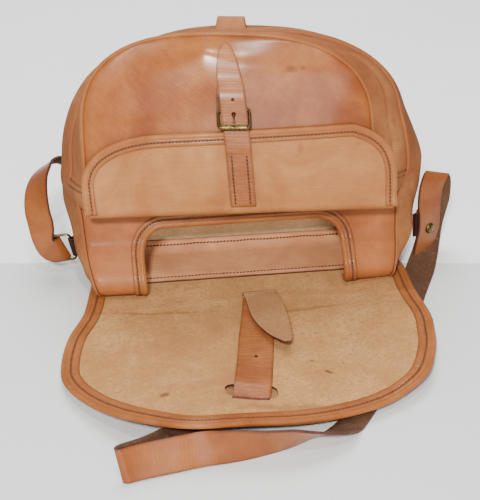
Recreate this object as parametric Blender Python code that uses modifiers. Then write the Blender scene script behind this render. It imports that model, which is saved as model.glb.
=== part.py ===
"""Leather shoulder bag standing upside down on its open mouth, its flap laid forward, inner side up.

Bag coordinates: u runs across the bag, v from the mouth to the bottom (upwards here),
w from the back panel to the front. The bag leans back, is turned a little at its top,
and its flap lies on the surface with its front edge propped on the shoulder strap.
"""
import math

import bmesh
import bpy
from mathutils import Vector

# Driving dimensions in millimetres, angles in degrees
MM = 0.001
GAP = 0.35
LEATHER = 2.2
BINDING = 1.4
STRAP = 2.6
PIPING_RADIUS = 2.0
SEAM_INSET = 2.9
BOUND_GAP = 0.6

BAG_HALF = 174.0
BAG_TOP = 236.0
BAG_DEPTH = 84.0
POCKET_DEPTH = 40.0
POCKET_HALF = 142.0
POCKET_CENTRE = -9.5
POCKET_MOUTH = 66.0
POCKET_BULGE = 13.0
BACK_BULGE = 5.0
GUSSET_BULGE = 9.0
RIGHT_SLUMP = 16.0
LEFT_SLUMP = 2.0

LEAN = math.radians(20.0)
TURN = math.radians(-9.0)
TURN_HEIGHT = 250.0
TURN_CENTRE_Y = 30.0
SLOUCH = 0.03
BACK_FOOT_Y = 85.0
BOX_MIDDLE = Vector((4.28, -52.53))
FRAME_SHIFT = Vector((BOX_MIDDLE.x, BOX_MIDDLE.y, 0.0))

FLOOR_MID = 1.1
EDGE_RAISE = 2.2
BACK_BEND = 25.0
BACK_BEND_Y = 68.0
LOBE_BEND = 11.0
LOBE_FOOT = 8.8
LOBE_FLARE = 16.0
LOBE_STRETCH = 5.8
FLAP_JOIN_Y = 56.0

CUTOUT_HALF = 103.0
CUTOUT_TOP = 44.0
CUTOUT_RADIUS = 24.0
STRIP_HALF = 117.0
STRIP_FRONT_Y = 19.0

RING_HEIGHT = 36.0
RING_REACH = 19.0
RING_CORNER = 4.0
RING_WIRE = 1.3
TAB_HALF = 12.0
TAB_LEATHER = 1.3


# Small helpers

def ease(start, end, x):
    t = min(max((x - start) / (end - start), 0.0), 1.0)
    return t * t * (3.0 - 2.0 * t)


def curve_through(points, steps=6):
    """A smooth line through the points (Catmull-Rom)."""
    ends = [points[0] * 2 - points[1], *points, points[-1] * 2 - points[-2]]
    line = []
    for a, b, c, d in zip(ends, ends[1:], ends[2:], ends[3:]):
        for k in range(steps):
            t = k / steps
            line.append(0.5 * (2 * b + (c - a) * t + (2 * a - 5 * b + 4 * c - d) * t ** 2
                               + (3 * b - a - 3 * c + d) * t ** 3))
    return [*line, points[-1].copy()]


def lengths(line):
    total = [0.0]
    for a, b in zip(line, line[1:]):
        total.append(total[-1] + (b - a).length)
    return total


def along(line, total, distance):
    """The point at this distance along a line, carried on straight past its ends."""
    k = 0
    while k < len(line) - 2 and total[k + 1] < distance:
        k += 1
    return line[k].lerp(line[k + 1], (distance - total[k]) / (total[k + 1] - total[k]))


def even(line, count):
    """The line again, as this many evenly spaced points."""
    total = lengths(line)
    return [along(line, total, total[-1] * i / (count - 1)) for i in range(count)]


def fine_feet(line, foot, step, count):
    """The line with close points along both feet, which bend, and even ones between them."""
    total = lengths(line)
    marks = [step * k for k in range(round(foot / step))]
    middle = [foot + (total[-1] - 2 * foot) * k / count for k in range(count + 1)]
    marks += middle + [total[-1] - mark for mark in reversed(marks)]
    return [along(line, total, mark) for mark in marks]


def inset(line, distance):
    """The line moved to its right-hand side, the inside of a clockwise outline."""
    moved = []
    for i, point in enumerate(line):
        step = line[min(i + 1, len(line) - 1)] - line[max(i - 1, 0)]
        step.normalize()
        moved.append(point + Vector((step.y, -step.x)) * distance)
    return moved


def rounded_path(points, radius, steps=5):
    """Straight runs joined by arcs of one radius."""
    path = [points[0]]
    for a, b, c in zip(points, points[1:], points[2:]):
        into = (b - a).normalized()
        out = (c - b).normalized()
        turn = into.angle_signed(out)
        reach = radius * math.tan(abs(turn) / 2)
        centre = b - into * reach + Vector((into.y, -into.x)) * math.copysign(radius, turn)
        spoke = b - into * reach - centre
        for k in range(steps + 1):
            angle = -turn * k / steps
            path.append(centre + Vector((spoke.x * math.cos(angle) - spoke.y * math.sin(angle),
                                         spoke.x * math.sin(angle) + spoke.y * math.cos(angle))))
    return [*path, points[-1]]


def dome(centre, half, shoulder, top, left_power, right_power, steps=24):
    """An arch from its left shoulder over the top to its right one; a higher power is squarer."""
    line = []
    for k in range(steps + 1):
        angle = math.pi * (1.0 - k / steps)
        power = left_power if 2 * k < steps else right_power
        across = math.copysign(abs(math.cos(angle)) ** (2 / power), math.cos(angle))
        rise = math.sin(angle) ** (2 / power) if 0 < k < steps else 0.0
        line.append(Vector((centre + half * across, shoulder + (top - shoulder) * rise)))
    return line


def pinched(line, depth, height, spread):
    """An outline whose right side is drawn in around one height."""
    return [p - Vector((depth * ease(0, 60, p.x) * math.exp(-((p.y - height) / spread) ** 2), 0)) for p in line]


def arched_outline(centre, flank, arch):
    """Flank rows (height, half width) on both sides, joined by an arch."""
    left = [Vector((centre - half, height)) for height, half in flank]
    right = [Vector((centre + half, height)) for height, half in reversed(flank)]
    return curve_through(left + arch + right, 3)


# The bag's place in the shared frame

def bag(u, y, z):
    """Upright bag coordinates to the frame, with the turn and slouch of the soft body."""
    turn = TURN * max(z, 0.0) / TURN_HEIGHT
    x = u - SLOUCH * z
    depth = y - TURN_CENTRE_Y
    return Vector((x * math.cos(turn) - depth * math.sin(turn) - BOX_MIDDLE.x,
                   x * math.sin(turn) + depth * math.cos(turn) + TURN_CENTRE_Y - BOX_MIDDLE.y, z))


def leaned(u, v, w):
    y = BACK_FOOT_Y + v * math.sin(LEAN) - w * math.cos(LEAN)
    z = v * math.cos(LEAN) + w * math.sin(LEAN)
    return bag(u, y, z)


def floor_raise(u, y):
    """Height of the flap's middle above its flat rest: bound edges, strap below, propped front."""
    prop = 9.0 + 22.0 * math.exp(-((u + 75.0) / 80.0) ** 2)
    run = min(max((-30.0 - y) / 215.0, 0.0), 1.2)
    over_strap = 3.6 * ease(100.0, 148.0, u) * ease(30.0, 6.0, y)
    return edge_raise(u) + over_strap + prop * run ** 1.25


def edge_raise(u):
    """The sides stand on their bindings, which are thicker than the leather."""
    return EDGE_RAISE * ease(95.0, 143.0, abs(u))


def flap_skin(u, y, off=0.0):
    return Vector((u - BOX_MIDDLE.x, y - BOX_MIDDLE.y, FLOOR_MID + floor_raise(u, y) + off))


def back_skin(u, s, off=0.0):
    """Back panel and hinge: s is 0 where the flat hinge starts to bend up into the back."""
    bend_end = BACK_BEND * (math.pi / 2 - LEAN)
    angle = math.radians(270.0) + min(max(s, 0.0), bend_end) / BACK_BEND
    bulge = BACK_BULGE * max(0.0, 1 - (u / 165.0) ** 2) * math.sin(math.pi * ease(25.0, 245.0, s))
    radius = BACK_BEND + off + bulge
    y = BACK_BEND_Y + radius * math.cos(angle) + min(s, 0.0)
    z = FLOOR_MID + BACK_BEND + radius * math.sin(angle)
    z += edge_raise(u) * ease(20.0, 0.0, s)
    past = max(s - bend_end, 0.0)
    return bag(u, y + past * math.sin(LEAN), z + past * math.cos(LEAN))


def front_skin(u, s, off=0.0):
    """Front panel: s is v on the flat panel, and runs on round the lobes that flare and turn under."""
    s -= LOBE_STRETCH * ease(40.0, -5.0, s)
    depth = BAG_DEPTH + LOBE_FLARE
    start = (LOBE_FOOT + LOBE_BEND * (1 + math.sin(LEAN)) - depth * math.sin(LEAN)) / math.cos(LEAN)
    if s >= start:
        return leaned(u, s, BAG_DEPTH + LOBE_FLARE * ease(32.0, start, s) + off)
    foot_y = BACK_FOOT_Y + start * math.sin(LEAN) - depth * math.cos(LEAN)
    foot_z = start * math.cos(LEAN) + depth * math.sin(LEAN)
    centre_y = foot_y + LOBE_BEND * math.cos(LEAN)
    centre_z = foot_z - LOBE_BEND * math.sin(LEAN)
    full = math.pi / 2 + LEAN
    turned = min((start - s) / LOBE_BEND, full)
    angle = math.pi - LEAN + turned
    under = max(start - s - full * LOBE_BEND, 0.0)
    radius = LOBE_BEND + off
    return bag(u, centre_y + radius * math.cos(angle) + under, centre_z + radius * math.sin(angle))


def pocket_bulge(u, v):
    across = max(0.0, 1 - ((u - POCKET_CENTRE) / POCKET_HALF) ** 2)
    if v < 150.0:
        return POCKET_BULGE * across * max(0.0, 1 - ((v - 150.0) / 84.0) ** 2)
    crest = 203.0 - 0.10 * max(0.0, u - 8.0) + 10.0 * ease(8.0, -30.0, u) - 0.50 * max(0.0, -30.0 - u)
    return across * (POCKET_BULGE + ease(150.0, crest, v)) * ease(240.0, crest, v)


def pocket_skin(u, v, off=0.0):
    return leaned(u, v, BAG_DEPTH + POCKET_DEPTH + pocket_bulge(u, v) + off)


# Outlines of the panels, as rows of (height, half width)
BACK_FLANK = [(-6, 149), (20, 152), (60, 159), (95, 170)]
FRONT_FLANK = [(-30, 146), (-18, 151), (-8, 154), (20, 160), (54, 162), (72, 165), (86, 170)]
POCKET_FLANK = [(POCKET_MOUTH, 142), (90, 142), (115, 142)]

back_dome = pinched(dome(0, BAG_HALF, 112, BAG_TOP + 13, 2.3, 2.7), 6.0, 200.0, 32.0)
front_dome = pinched(dome(3, BAG_HALF - 3, 102, BAG_TOP, 2.35, 2.8), 4.5, 152.0, 28.0)
back_outline = arched_outline(0, BACK_FLANK, back_dome)
front_outline = arched_outline(0, FRONT_FLANK, front_dome)
pocket_outline = arched_outline(POCKET_CENTRE, POCKET_FLANK,
                                dome(POCKET_CENTRE, POCKET_HALF, 138, BAG_TOP - 2, 2.7, 2.7))


# Blender objects

collection = None


def leather_material(name, colour, roughness, metallic=0.0):
    material = bpy.data.materials.new(name)
    material.use_nodes = True
    shader = material.node_tree.nodes["Principled BSDF"]
    shader.inputs["Base Color"].default_value = (*colour, 1.0)
    shader.inputs["Roughness"].default_value = roughness
    shader.inputs["Metallic"].default_value = metallic
    return material


def add_object(name, data, material):
    piece = bpy.data.objects.new(name, data)
    collection.objects.link(piece)
    piece.data.materials.append(material)
    return piece


def sheet(name, rows, thickness, material):
    """An open sheet through rows of points, thickened to both sides."""
    mesh = bmesh.new()
    grid = [[mesh.verts.new(point * MM) for point in row] for row in rows]
    for row, above in zip(grid, grid[1:]):
        for k in range(len(row) - 1):
            mesh.faces.new((row[k], row[k + 1], above[k + 1], above[k]))
    data = bpy.data.meshes.new(name)
    mesh.to_mesh(data)
    mesh.free()
    piece = add_object(name, data, material)
    shell = piece.modifiers.new("Leather", 'SOLIDIFY')
    shell.thickness = thickness * MM
    shell.offset = 0.0
    return piece


def patch(outline, base_count, marks, rest):
    """Rows of points that fill an outline closed by a straight base line.

    The rows start from these distances up its sides, and the rest are even.
    """
    total = lengths(outline)
    share = 0.34
    left = climb(cut(outline, total, 0.0, share), marks, rest)
    top = even(cut(outline, total, share, 1 - share), base_count)
    right = climb(list(reversed(cut(outline, total, 1 - share, 1.0))), marks, rest)
    base = even([outline[0], outline[-1]], base_count)
    side = lengths(left)
    rows = []
    for j in range(len(left)):
        q = side[j] / side[-1]
        row = []
        for i in range(base_count):
            p = i / (base_count - 1)
            corners = base[0].lerp(base[-1], p).lerp(top[0].lerp(top[-1], p), q)
            row.append(base[i].lerp(top[i], q) + left[j].lerp(right[j], p) - corners)
        rows.append(row)
    return rows


def climb(side, marks, rest):
    total = lengths(side)
    last = marks[-1]
    even_marks = [last + (total[-1] - last) * k / rest for k in range(1, rest + 1)]
    return [along(side, total, mark) for mark in [*marks, *even_marks]]


def cut(line, total, start, end):
    """The stretch of a line between two shares of its length."""
    whole = total[-1]
    inner = [p for p, t in zip(line, total) if start * whole < t < end * whole]
    return [along(line, total, start * whole), *inner, along(line, total, end * whole)]


def tube(name, points, radius, material, closed=False):
    """A round cord, wire or ring along a line of points."""
    data = bpy.data.curves.new(name, 'CURVE')
    data.dimensions = '3D'
    data.bevel_depth = radius * MM
    data.bevel_resolution = 1
    data.use_fill_caps = True
    spline = data.splines.new('POLY')
    spline.points.add(len(points) - 1)
    for knot, point in zip(spline.points, points):
        knot.co = (*(point * MM), 1.0)
    spline.use_cyclic_u = closed
    return add_object(name, data, material)


def ribbon_rows(stations, widths):
    """Both edges of a strap, from its middle points and side directions."""
    rows = []
    for (middle, side), half in zip(stations, widths):
        side = side.normalized() * half
        rows.append([middle - side, middle + side])
    return rows


def turned(name, base, axis, profile, material, sides=16):
    """A turned piece: (radius, height) pairs from one end of its axis to the other."""
    bm = bmesh.new()
    turn = Vector((0, 0, 1)).rotation_difference(axis).to_matrix()
    rings = []
    for radius, height in profile:
        ring = []
        for k in range(sides):
            angle = 2 * math.pi * k / sides
            spot = Vector((radius * math.cos(angle), radius * math.sin(angle), height))
            ring.append(bm.verts.new((base + turn @ spot) * MM))
        rings.append(ring)
    for low, high in zip(rings, rings[1:]):
        for k in range(sides):
            bm.faces.new((low[k], low[(k + 1) % sides], high[(k + 1) % sides], high[k]))
    bm.faces.new(list(reversed(rings[0])))
    bm.faces.new(rings[-1])
    data = bpy.data.meshes.new(name)
    bm.to_mesh(data)
    bm.free()
    if material:
        return add_object(name, data, material)
    return add_cutter(name, data)


def add_cutter(name, data):
    cutter = bpy.data.objects.new(name, data)
    cutters.objects.link(cutter)
    cutter.hide_render = True
    cutter.display_type = 'WIRE'
    return cutter


def punch(piece, name, middle, axis, radius, depth):
    """A round hole through a piece of leather or a bar."""
    cutter = turned(name, middle - axis * (depth / 2), axis, [(radius, 0), (radius, depth)], None, 12)
    cut_with(piece, cutter)


def cut_with(piece, cutter):
    hole = piece.modifiers.new("Cut", 'BOOLEAN')
    hole.operation = 'DIFFERENCE'
    hole.object = cutter


# Start clean
for old in list(bpy.data.objects):
    bpy.data.objects.remove(old)
collection = bpy.data.collections.new("leather_shoulder_bag")
cutters = bpy.data.collections.new("cutters")
bpy.context.scene.collection.children.link(collection)
bpy.context.scene.collection.children.link(cutters)

TAN = leather_material("tan_leather", (0.52, 0.27, 0.13), 0.42)
EDGE = leather_material("binding_leather", (0.42, 0.18, 0.08), 0.45)
SUEDE = leather_material("suede_inside", (0.50, 0.35, 0.20), 0.9)
STRAP_TAN = leather_material("strap_leather", (0.40, 0.17, 0.07), 0.45)
DARK = leather_material("dark_tab_leather", (0.13, 0.08, 0.05), 0.6)
BRASS = leather_material("aged_brass", (0.38, 0.30, 0.17), 0.35, 1.0)


# Back panel, front panel with its cutout, and the gusset between them

def build_body():
    inner = inset(back_outline, SEAM_INSET)
    rows = patch(inner, 13, [6.0 * k for k in range(8)], 6)
    sheet("back_panel", [[back_skin(p.x, p.y) for p in row] for row in rows], LEATHER, TAN)

    outer = inset(fine_feet(front_outline, 63.0, 3.5, 26), SEAM_INSET + 0.4)
    arch = fine_feet(cutout_line(1.9), 63.0, 3.5, 26)
    ladder = [[front_skin(*a.lerp(b, k / 3)) for k in range(4)] for a, b in zip(outer, arch)]
    sheet("front_panel", ladder, LEATHER, TAN)

    seam = fine_feet(front_outline, 27.0, 3.0, 26)
    front_seam = [front_skin(p.x, p.y) for p in seam]
    back_seam = [back_skin(p.x, p.y) for p in fine_feet(curve_foot(back_outline, 22.0), 12.0, 3.0, 26)]
    foot = 5
    strips = []
    for k in range(1, len(back_seam) - 1):
        start = back_seam[k] + off_seam(back_seam, k, front_seam[k + foot])
        end = front_seam[k + foot] + off_seam(front_seam, k + foot, back_seam[k])
        strips.append(gusset_row(start, end, seam[k + foot]))
    sheet("main_gusset", strips, LEATHER - 0.2, TAN)

    tube("piping_back", back_seam, PIPING_RADIUS, EDGE)
    tube("piping_body_front", front_seam[3:-3], PIPING_RADIUS, EDGE)


def curve_foot(line, height):
    """The outline from this height up."""
    total = lengths(line)
    start = next(t + height - p.y for p, t in zip(line, total) if p.y > height)
    return cut(line, total, start / total[-1], 1 - start / total[-1])


def cutout_line(grow):
    """The arch of the opening in the front panel, its edge moved into the panel by grow."""
    half = CUTOUT_HALF + grow
    corners = [Vector((-half, -30)), Vector((-half, CUTOUT_TOP - 3 + grow)),
               Vector((half, CUTOUT_TOP + 2 + grow)), Vector((half, -30))]
    return rounded_path(corners, CUTOUT_RADIUS, 7)


def off_seam(seam, k, far):
    """The step from a seam onto the gusset, square to the seam, towards the far seam."""
    run = (seam[k + 1] - seam[k - 1]).normalized()
    step = far - seam[k]
    return (step - run * step.dot(run)).normalized() * SEAM_INSET


def gusset_row(start, end, front):
    """One strip across the gusset, bulged outwards and a little slack."""
    out = outward(front)
    if front.x > 0:
        slack = 0.8 + 8.0 * ease(BAG_TOP, 160.0, front.y)
        slack += RIGHT_SLUMP * ease(135.0, 75.0, front.y) * ease(-12.0, 20.0, front.y)
    else:
        slack = 0.8 + GUSSET_BULGE * ease(BAG_TOP, 175.0, front.y)
        slack += LEFT_SLUMP * ease(95.0, 55.0, front.y) * ease(-5.0, 20.0, front.y)
    row = []
    for k in range(7):
        q = k / 6
        pucker = 1.4 * math.sin(3 * math.pi * q) * math.sin(front.y / 11.0) * ease(150, 60, front.y)
        lift = slack * 4 * q * (1 - q) + pucker * ease(0, 0.2, q) * ease(1, 0.8, q)
        row.append(start.lerp(end, q) + out * lift)
    return row


def outward(seam):
    """Direction away from the middle of the bag, within the plane of its panels."""
    centre = Vector((0.0, min(seam.y, 120.0)))
    side = seam - centre
    side.normalize()
    return (leaned(side.x * 10, 100 + side.y * 10, 40) - leaned(0, 100, 40)).normalized()


# Front pocket: front, gusset and piping

def build_pocket():
    rows = patch(inset(pocket_outline, SEAM_INSET), 14, [0.0], 10)
    sheet("pocket_front", [[pocket_skin(p.x, p.y) for p in row] for row in rows], LEATHER, TAN)
    wide = even(curve_foot(front_outline, 72.0), 35)
    narrow = even(pocket_outline, 35)
    strips = []
    for outer, inner in zip(wide, narrow):
        start = front_skin(outer.x, outer.y)
        end = pocket_skin(inner.x, inner.y)
        step = (end - start).normalized() * SEAM_INSET
        out = outward(outer)
        strip = [(start + step).lerp(end - step, k / 3) + out * (12.0 * k / 3 * (1 - k / 3))
                 for k in range(4)]
        strips.append(strip)
    sheet("pocket_gusset", strips, LEATHER - 0.4, TAN)
    tube("piping_pocket", [pocket_skin(p.x, p.y) for p in even(pocket_outline, 44)],
         PIPING_RADIUS, EDGE)


# Bound edges: a strip of leather folded round the edge of a sheet

def bound_edge(name, skin, line, width, material):
    """Rows of a folded strip; the line is its outermost edge, clockwise round the sheet."""
    reach = LEATHER / 2 + BOUND_GAP + BINDING / 2
    profile = [(width, reach), (1.0, reach), (1.0, -reach), (width, -reach)]
    lines = [inset(line, inward) for inward, off in profile]
    rows = []
    for k in range(len(line)):
        rows.append([skin(points[k].x, points[k].y, off) for points, (inward, off) in zip(lines, profile)])
    return sheet(name, rows, BINDING, material)


BOUND_INSET = 2.6


def build_cutout_binding():
    arch = list(reversed(fine_feet(cutout_line(-1.0), 63.0, 3.5, 26)))
    bound_edge("cutout_binding", front_skin, arch, 11.0, EDGE)


# Flap lying forward of the mouth, and the strip stitched over its hinge
# Flap outline on the surface, from its right back corner round the front to the left one
FLAP_EDGE = [(163, FLAP_JOIN_Y), (169, 30), (170, 0), (170, -38), (174, -80), (171, -108), (163, -143),
             (143, -184), (105, -212), (58, -229), (-5, -243), (-75, -255), (-127, -227),
             (-165, -190), (-188, -151), (-191, -117), (-184, -74), (-169, -34), (-161, 8),
             (-157, 35), (-152, FLAP_JOIN_Y)]
flap_outline = curve_through([Vector(p) for p in FLAP_EDGE], 4)
SLOT_CENTRE = Vector((-21.0, -192.0))
SLOT_HALF = Vector((24.0, 11.0))


def build_flap():
    rows = patch(inset(flap_outline, BOUND_INSET), 19, [0.0], 18)
    flap = sheet("main_flap", [[flap_skin(p.x, p.y) for p in row] for row in rows], LEATHER, SUEDE)
    cut_with(flap, slot_cutter())
    bound = [p for p in even(flap_outline, 66) if p.y < 34]
    bound_edge("flap_binding", flap_skin, bound, 18.0, EDGE)

    strip_rows = []
    flat = BACK_BEND_Y - STRIP_FRONT_Y
    lift = LEATHER + GAP
    for k in range(8):
        s = min(-flat + flat * k / 4, 6.0 * (k - 4))
        strip_rows.append([back_skin(STRIP_HALF * (j / 4 - 1), s, -lift) for j in range(9)])
    sheet("hinge_strip", strip_rows, LEATHER, TAN)


def slot_cutter():
    bm = bmesh.new()
    bmesh.ops.create_cube(bm, size=1.0)
    for vert in bm.verts:
        vert.co.x *= 2 * SLOT_HALF.x
        vert.co.y *= 2 * SLOT_HALF.y
        vert.co.z *= 40.0
    centre = flap_skin(*SLOT_CENTRE)
    bmesh.ops.translate(bm, verts=bm.verts, vec=centre)
    bmesh.ops.scale(bm, verts=bm.verts, vec=(MM, MM, MM))
    data = bpy.data.meshes.new("slot_cutter")
    bm.to_mesh(data)
    bm.free()
    cutter = add_cutter("slot_cutter", data)
    ends = cutter.modifiers.new("Round ends", 'BEVEL')
    ends.width = 7.0 * MM
    ends.segments = 4
    return cutter


# Pocket flap: sewn inside the pocket, round its mouth and up over its front

FLAP_LIFT = 6.0
FLAP_ROOT = 77.0
FLAP_UNDER = 60.0
flap_section = rounded_path([Vector((BAG_DEPTH + LEATHER + GAP, FLAP_ROOT)),
                             Vector((BAG_DEPTH + LEATHER + GAP, FLAP_UNDER)),
                             Vector((BAG_DEPTH + POCKET_DEPTH + FLAP_LIFT, FLAP_UNDER)),
                             Vector((BAG_DEPTH + POCKET_DEPTH + FLAP_LIFT, 175.0))], 7.0)
section_total = lengths(flap_section)
FRONT_START = section_total[-1] - (175.0 - FLAP_UNDER)


def pocket_flap_skin(u, t, off=0.0):
    """t runs along the flap from its root inside the pocket to its free edge."""
    point = along(flap_section, section_total, t)
    step = (along(flap_section, section_total, t + 0.5)
            - along(flap_section, section_total, t - 0.5)).normalized()
    on_front = ease(FRONT_START, FRONT_START + 16.0, t)
    droop = 4.0 * max(0.0, (u - 125.0) / 30.0) ** 2
    point = point + Vector((step.y, -step.x)) * off
    w = point.x + on_front * (pocket_bulge(u, point.y) - droop)
    return leaned(u, point.y, w)


FIRST_BEND = FLAP_ROOT - FLAP_UNDER - 7.0
BEND_MARKS = [FIRST_BEND + 3.7 * k for k in range(4)] + [FRONT_START - 4.0 + 3.7 * k for k in range(4)]


def on_flap(v):
    return FRONT_START + v - FLAP_UNDER


def pocket_flap_outline():
    left = dome(-60, 94.5, on_flap(88), on_flap(139.5), 2.3, 2.3)[:12]
    right = dome(88, 67, on_flap(92), on_flap(149), 2.5, 2.5)[14:]
    brim = [left[-1].lerp(right[0], k / 6) for k in range(1, 6)]
    root = [Vector((-144, 0)), Vector((-150, 18)), Vector((-153, 45))]
    far_root = [Vector((153, 45)), Vector((149, 18)), Vector((143, 0))]
    return curve_through(root + left + brim + right + far_root, 2)


def build_pocket_flap():
    outline = pocket_flap_outline()
    rows = patch(inset(outline, BOUND_INSET), 14, [0.0, *BEND_MARKS], 9)
    sheet("pocket_flap", [[pocket_flap_skin(p.x, p.y) for p in row] for row in rows], LEATHER, TAN)
    bound = [p for p in even(outline, 62) if p.y > FRONT_START + 8.0]
    bound_edge("pocket_flap_binding", pocket_flap_skin, bound, 11.0, EDGE)


# Pocket strap and buckle, placed by their height above the pocket front

HEEL_V = 163.0
ROLLER_V = 147.0
HEEL_RISE = 4.6
ROLLER_RISE = 14.4
BUCKLE_U = -2.5
FRAME_HALF = 15.2

# Rows of the pocket strap: v, middle u, rise above the pocket front, half width
POCKET_STRAP_ROWS = [
    (68, 1.5, 9.2, 12.5), (84, 1.2, 9.1, 12.5), (102, 0.8, 9.1, 12.5), (118, 0.4, 9.5, 12.5),
    (126, 0.1, 10.7, 12.5), (133, -0.2, 10.9, 12.5), (141, -0.8, 10.8, 12.5), (148, -1.5, 10.2, 12.5),
    (156, -2.0, 9.8, 12.5), (163, -2.4, 9.8, 12.5), (172, -3.0, 9.6, 12.5), (180, -3.8, 8.2, 12.5),
    (187, -4.6, 6.0, 12.3), (195, -5.7, 4.6, 11.8), (206, -7.0, 4.4, 10.4), (215, -7.9, 4.6, 8.2),
    (222, -8.6, 4.4, 5.0), (226, -9.0, 4.2, 2.0)]


def build_pocket_strap():
    rows = []
    for v, middle, rise, half in POCKET_STRAP_ROWS:
        rows.append([pocket_skin(middle + half * k, v, rise) for k in (-1, 0, 1)])
    strap = sheet("pocket_strap", rows, STRAP, STRAP_TAN)
    normal = (pocket_skin(0, HEEL_V, 10) - pocket_skin(0, HEEL_V, 0)).normalized()
    punch(strap, "prong_hole", pocket_skin(BUCKLE_U, 159.5, 9.4), normal, 2.3, 14)
    punch(strap, "spare_hole", pocket_skin(BUCKLE_U, 173.5, 9.0), normal, 1.7, 12)

    corners = []
    for u, v in ((-1, 0), (-1, 1), (1, 1), (1, 0)):
        rise = HEEL_RISE + (ROLLER_RISE - HEEL_RISE) * v
        corners.append(pocket_skin(BUCKLE_U + u * FRAME_HALF, HEEL_V + (ROLLER_V - HEEL_V) * v, rise))
    frame = [corners[0].lerp(corners[3], 0.5), corners[0], corners[1], corners[2], corners[3]]
    tube("buckle_frame", frame, 1.2, BRASS, closed=True)

    roller_end = pocket_skin(BUCKLE_U + FRAME_HALF - 2.2, ROLLER_V, ROLLER_RISE)
    roller_start = pocket_skin(BUCKLE_U - FRAME_HALF + 2.2, ROLLER_V, ROLLER_RISE)
    build_roller(roller_start, roller_end)

    prong = [pocket_skin(BUCKLE_U, 160.2, 8.7), pocket_skin(BUCKLE_U, 159.0, 12.6),
             pocket_skin(BUCKLE_U, 155.0, 16.6), pocket_skin(BUCKLE_U, 148.0, 18.2),
             pocket_skin(BUCKLE_U, 144.8, 17.9)]
    tube("buckle_prong", prong, 0.9, BRASS)
    build_chape()


def build_roller(start, end):
    """A thin tube that turns on the frame's lower bar."""
    axis = (end - start).normalized()
    width = (end - start).length
    roller = turned("buckle_roller", start, axis, [(2.4, 0), (2.4, width)], BRASS)
    punch(roller, "roller_bore", (start + end) / 2, axis, 1.55, width + 4)


def build_chape():
    """Leather folded round the buckle's upper bar, both ends lying on the pocket front."""
    low = 2.25
    high = 2 * HEEL_RISE - low
    section = [(183, low), (172, low), (HEEL_V, low)]
    for k in range(1, 6):
        angle = math.pi * k / 6
        section.append((HEEL_V - (HEEL_RISE - low) * math.sin(angle),
                        HEEL_RISE - (HEEL_RISE - low) * math.cos(angle)))
    section += [(HEEL_V, high), (170, high - 0.2), (176, high - 1.6)]
    rows = [[pocket_skin(BUCKLE_U - 2.0 + 10.6 * k, v, rise) for k in (-1, 0, 1)] for v, rise in section]
    sheet("buckle_chape", rows, 1.5, STRAP_TAN)


# Closure strap: sewn under the flap, up through the slot, back over the suede, tip curled over
# Rows: u, y, rise above the flap's middle, side direction across and along, half width
CLOSURE_ROWS = [
    (-26, -219, -2.8, 34, -4, 17), (-24, -208, -3.1, 34, -4, 17), (-22, -199, -2.4, 34, -4, 17),
    (-20, -190, 0.4, 34, -4, 17), (-18, -181, 2.9, 34, -4, 17), (-15, -165, 3.4, 34, -5, 17),
    (-9.5, -135, 3.4, 34, -5, 17), (-3.5, -100, 3.8, 34, -6, 17), (2.5, -70, 5.0, 34, -6, 17),
    (6.5, -51, 8.0, 34, -4, 17), (8, -40, 11.4, 34, -2, 17)]
CURL_RADIUS = 4.2
# Rows of the curled tip: u, y, z, half width
CURL_ROWS = [(10, -47, 20.4, 17), (11.5, -62, 19.6, 17.5), (12.8, -77, 19.3, 17.3), (14.5, -91, 19.5, 15.6),
             (16.5, -103, 20.2, 13), (18.5, -113, 21.2, 10.2), (21, -121, 22, 6.8), (22.8, -127, 22.6, 3.2)]


def build_closure_strap():
    rows = []
    for u, y, rise, across, along_y, half in CLOSURE_ROWS:
        side = Vector((across, along_y)).normalized() * half
        rows.append([flap_skin(u + side.x * k, y + side.y * k, rise) for k in (-1, 0, 1)])
    stations = []
    turn_centre = flap_skin(8.5, -39.5, 11.2 + CURL_RADIUS)
    for k in range(1, 5):
        angle = math.radians(-60 + 45 * k)
        around = Vector((0, math.cos(angle), math.sin(angle))) * CURL_RADIUS
        stations.append((turn_centre + around, Vector((34, 1, 0)), 17))
    for u, y, z, half in CURL_ROWS:
        stations.append((Vector((u - BOX_MIDDLE.x, y - BOX_MIDDLE.y, z)), Vector((34, -1, 2)), half))
    for middle, side, half in stations:
        side = side.normalized() * half
        rows.append([middle - side, middle, middle + side])
    strap = sheet("closure_strap", rows, 2.2, STRAP_TAN)
    punch(strap, "closure_hole", flap_skin(-9, -136, 3.2), Vector((0, 0, 1)), 1.8, 12)


# Loop on the bag's bottom, which stands uppermost

def build_bottom_loop():
    top = BAG_TOP + 5.2
    section = rounded_path([Vector((74, top)), Vector((70, top + 9.5)), Vector((46, top + 9.5)),
                            Vector((40, top + 0.5))], 2.5, 3)
    rows = [[leaned(-6 + 15.5 * k, p.y, p.x) for k in (-1, 0, 1)] for p in section]
    sheet("bottom_loop", rows, STRAP, STRAP_TAN)


# Side tabs, dee rings and rivets

LEFT_BAR_AT = Vector((-175.5, 51.0, 35.3))
LEFT_OUT = Vector((-0.983, 0.101, -0.152))
LEFT_UP = Vector((-0.170, -0.200, 0.965))
LEFT_BACK = Vector((0.067, 0.974, 0.214))
STRAP_FACING = Vector((0.515, -0.857, 0.0))
STRAP_ACROSS = Vector((0.857, 0.515, 0.0))
RIVET_AT = Vector((203.0, 41.5, 34.0))
RING_BEHIND = 5.6
RING_BAR_SIDE = -13.0
RING_TILT = 0.1


def left_place(out, up, back):
    """A point of the left ring: out from its bar, up along it, back from its plane."""
    return LEFT_BAR_AT + LEFT_OUT * out + LEFT_UP * up + LEFT_BACK * back - FRAME_SHIFT


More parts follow.
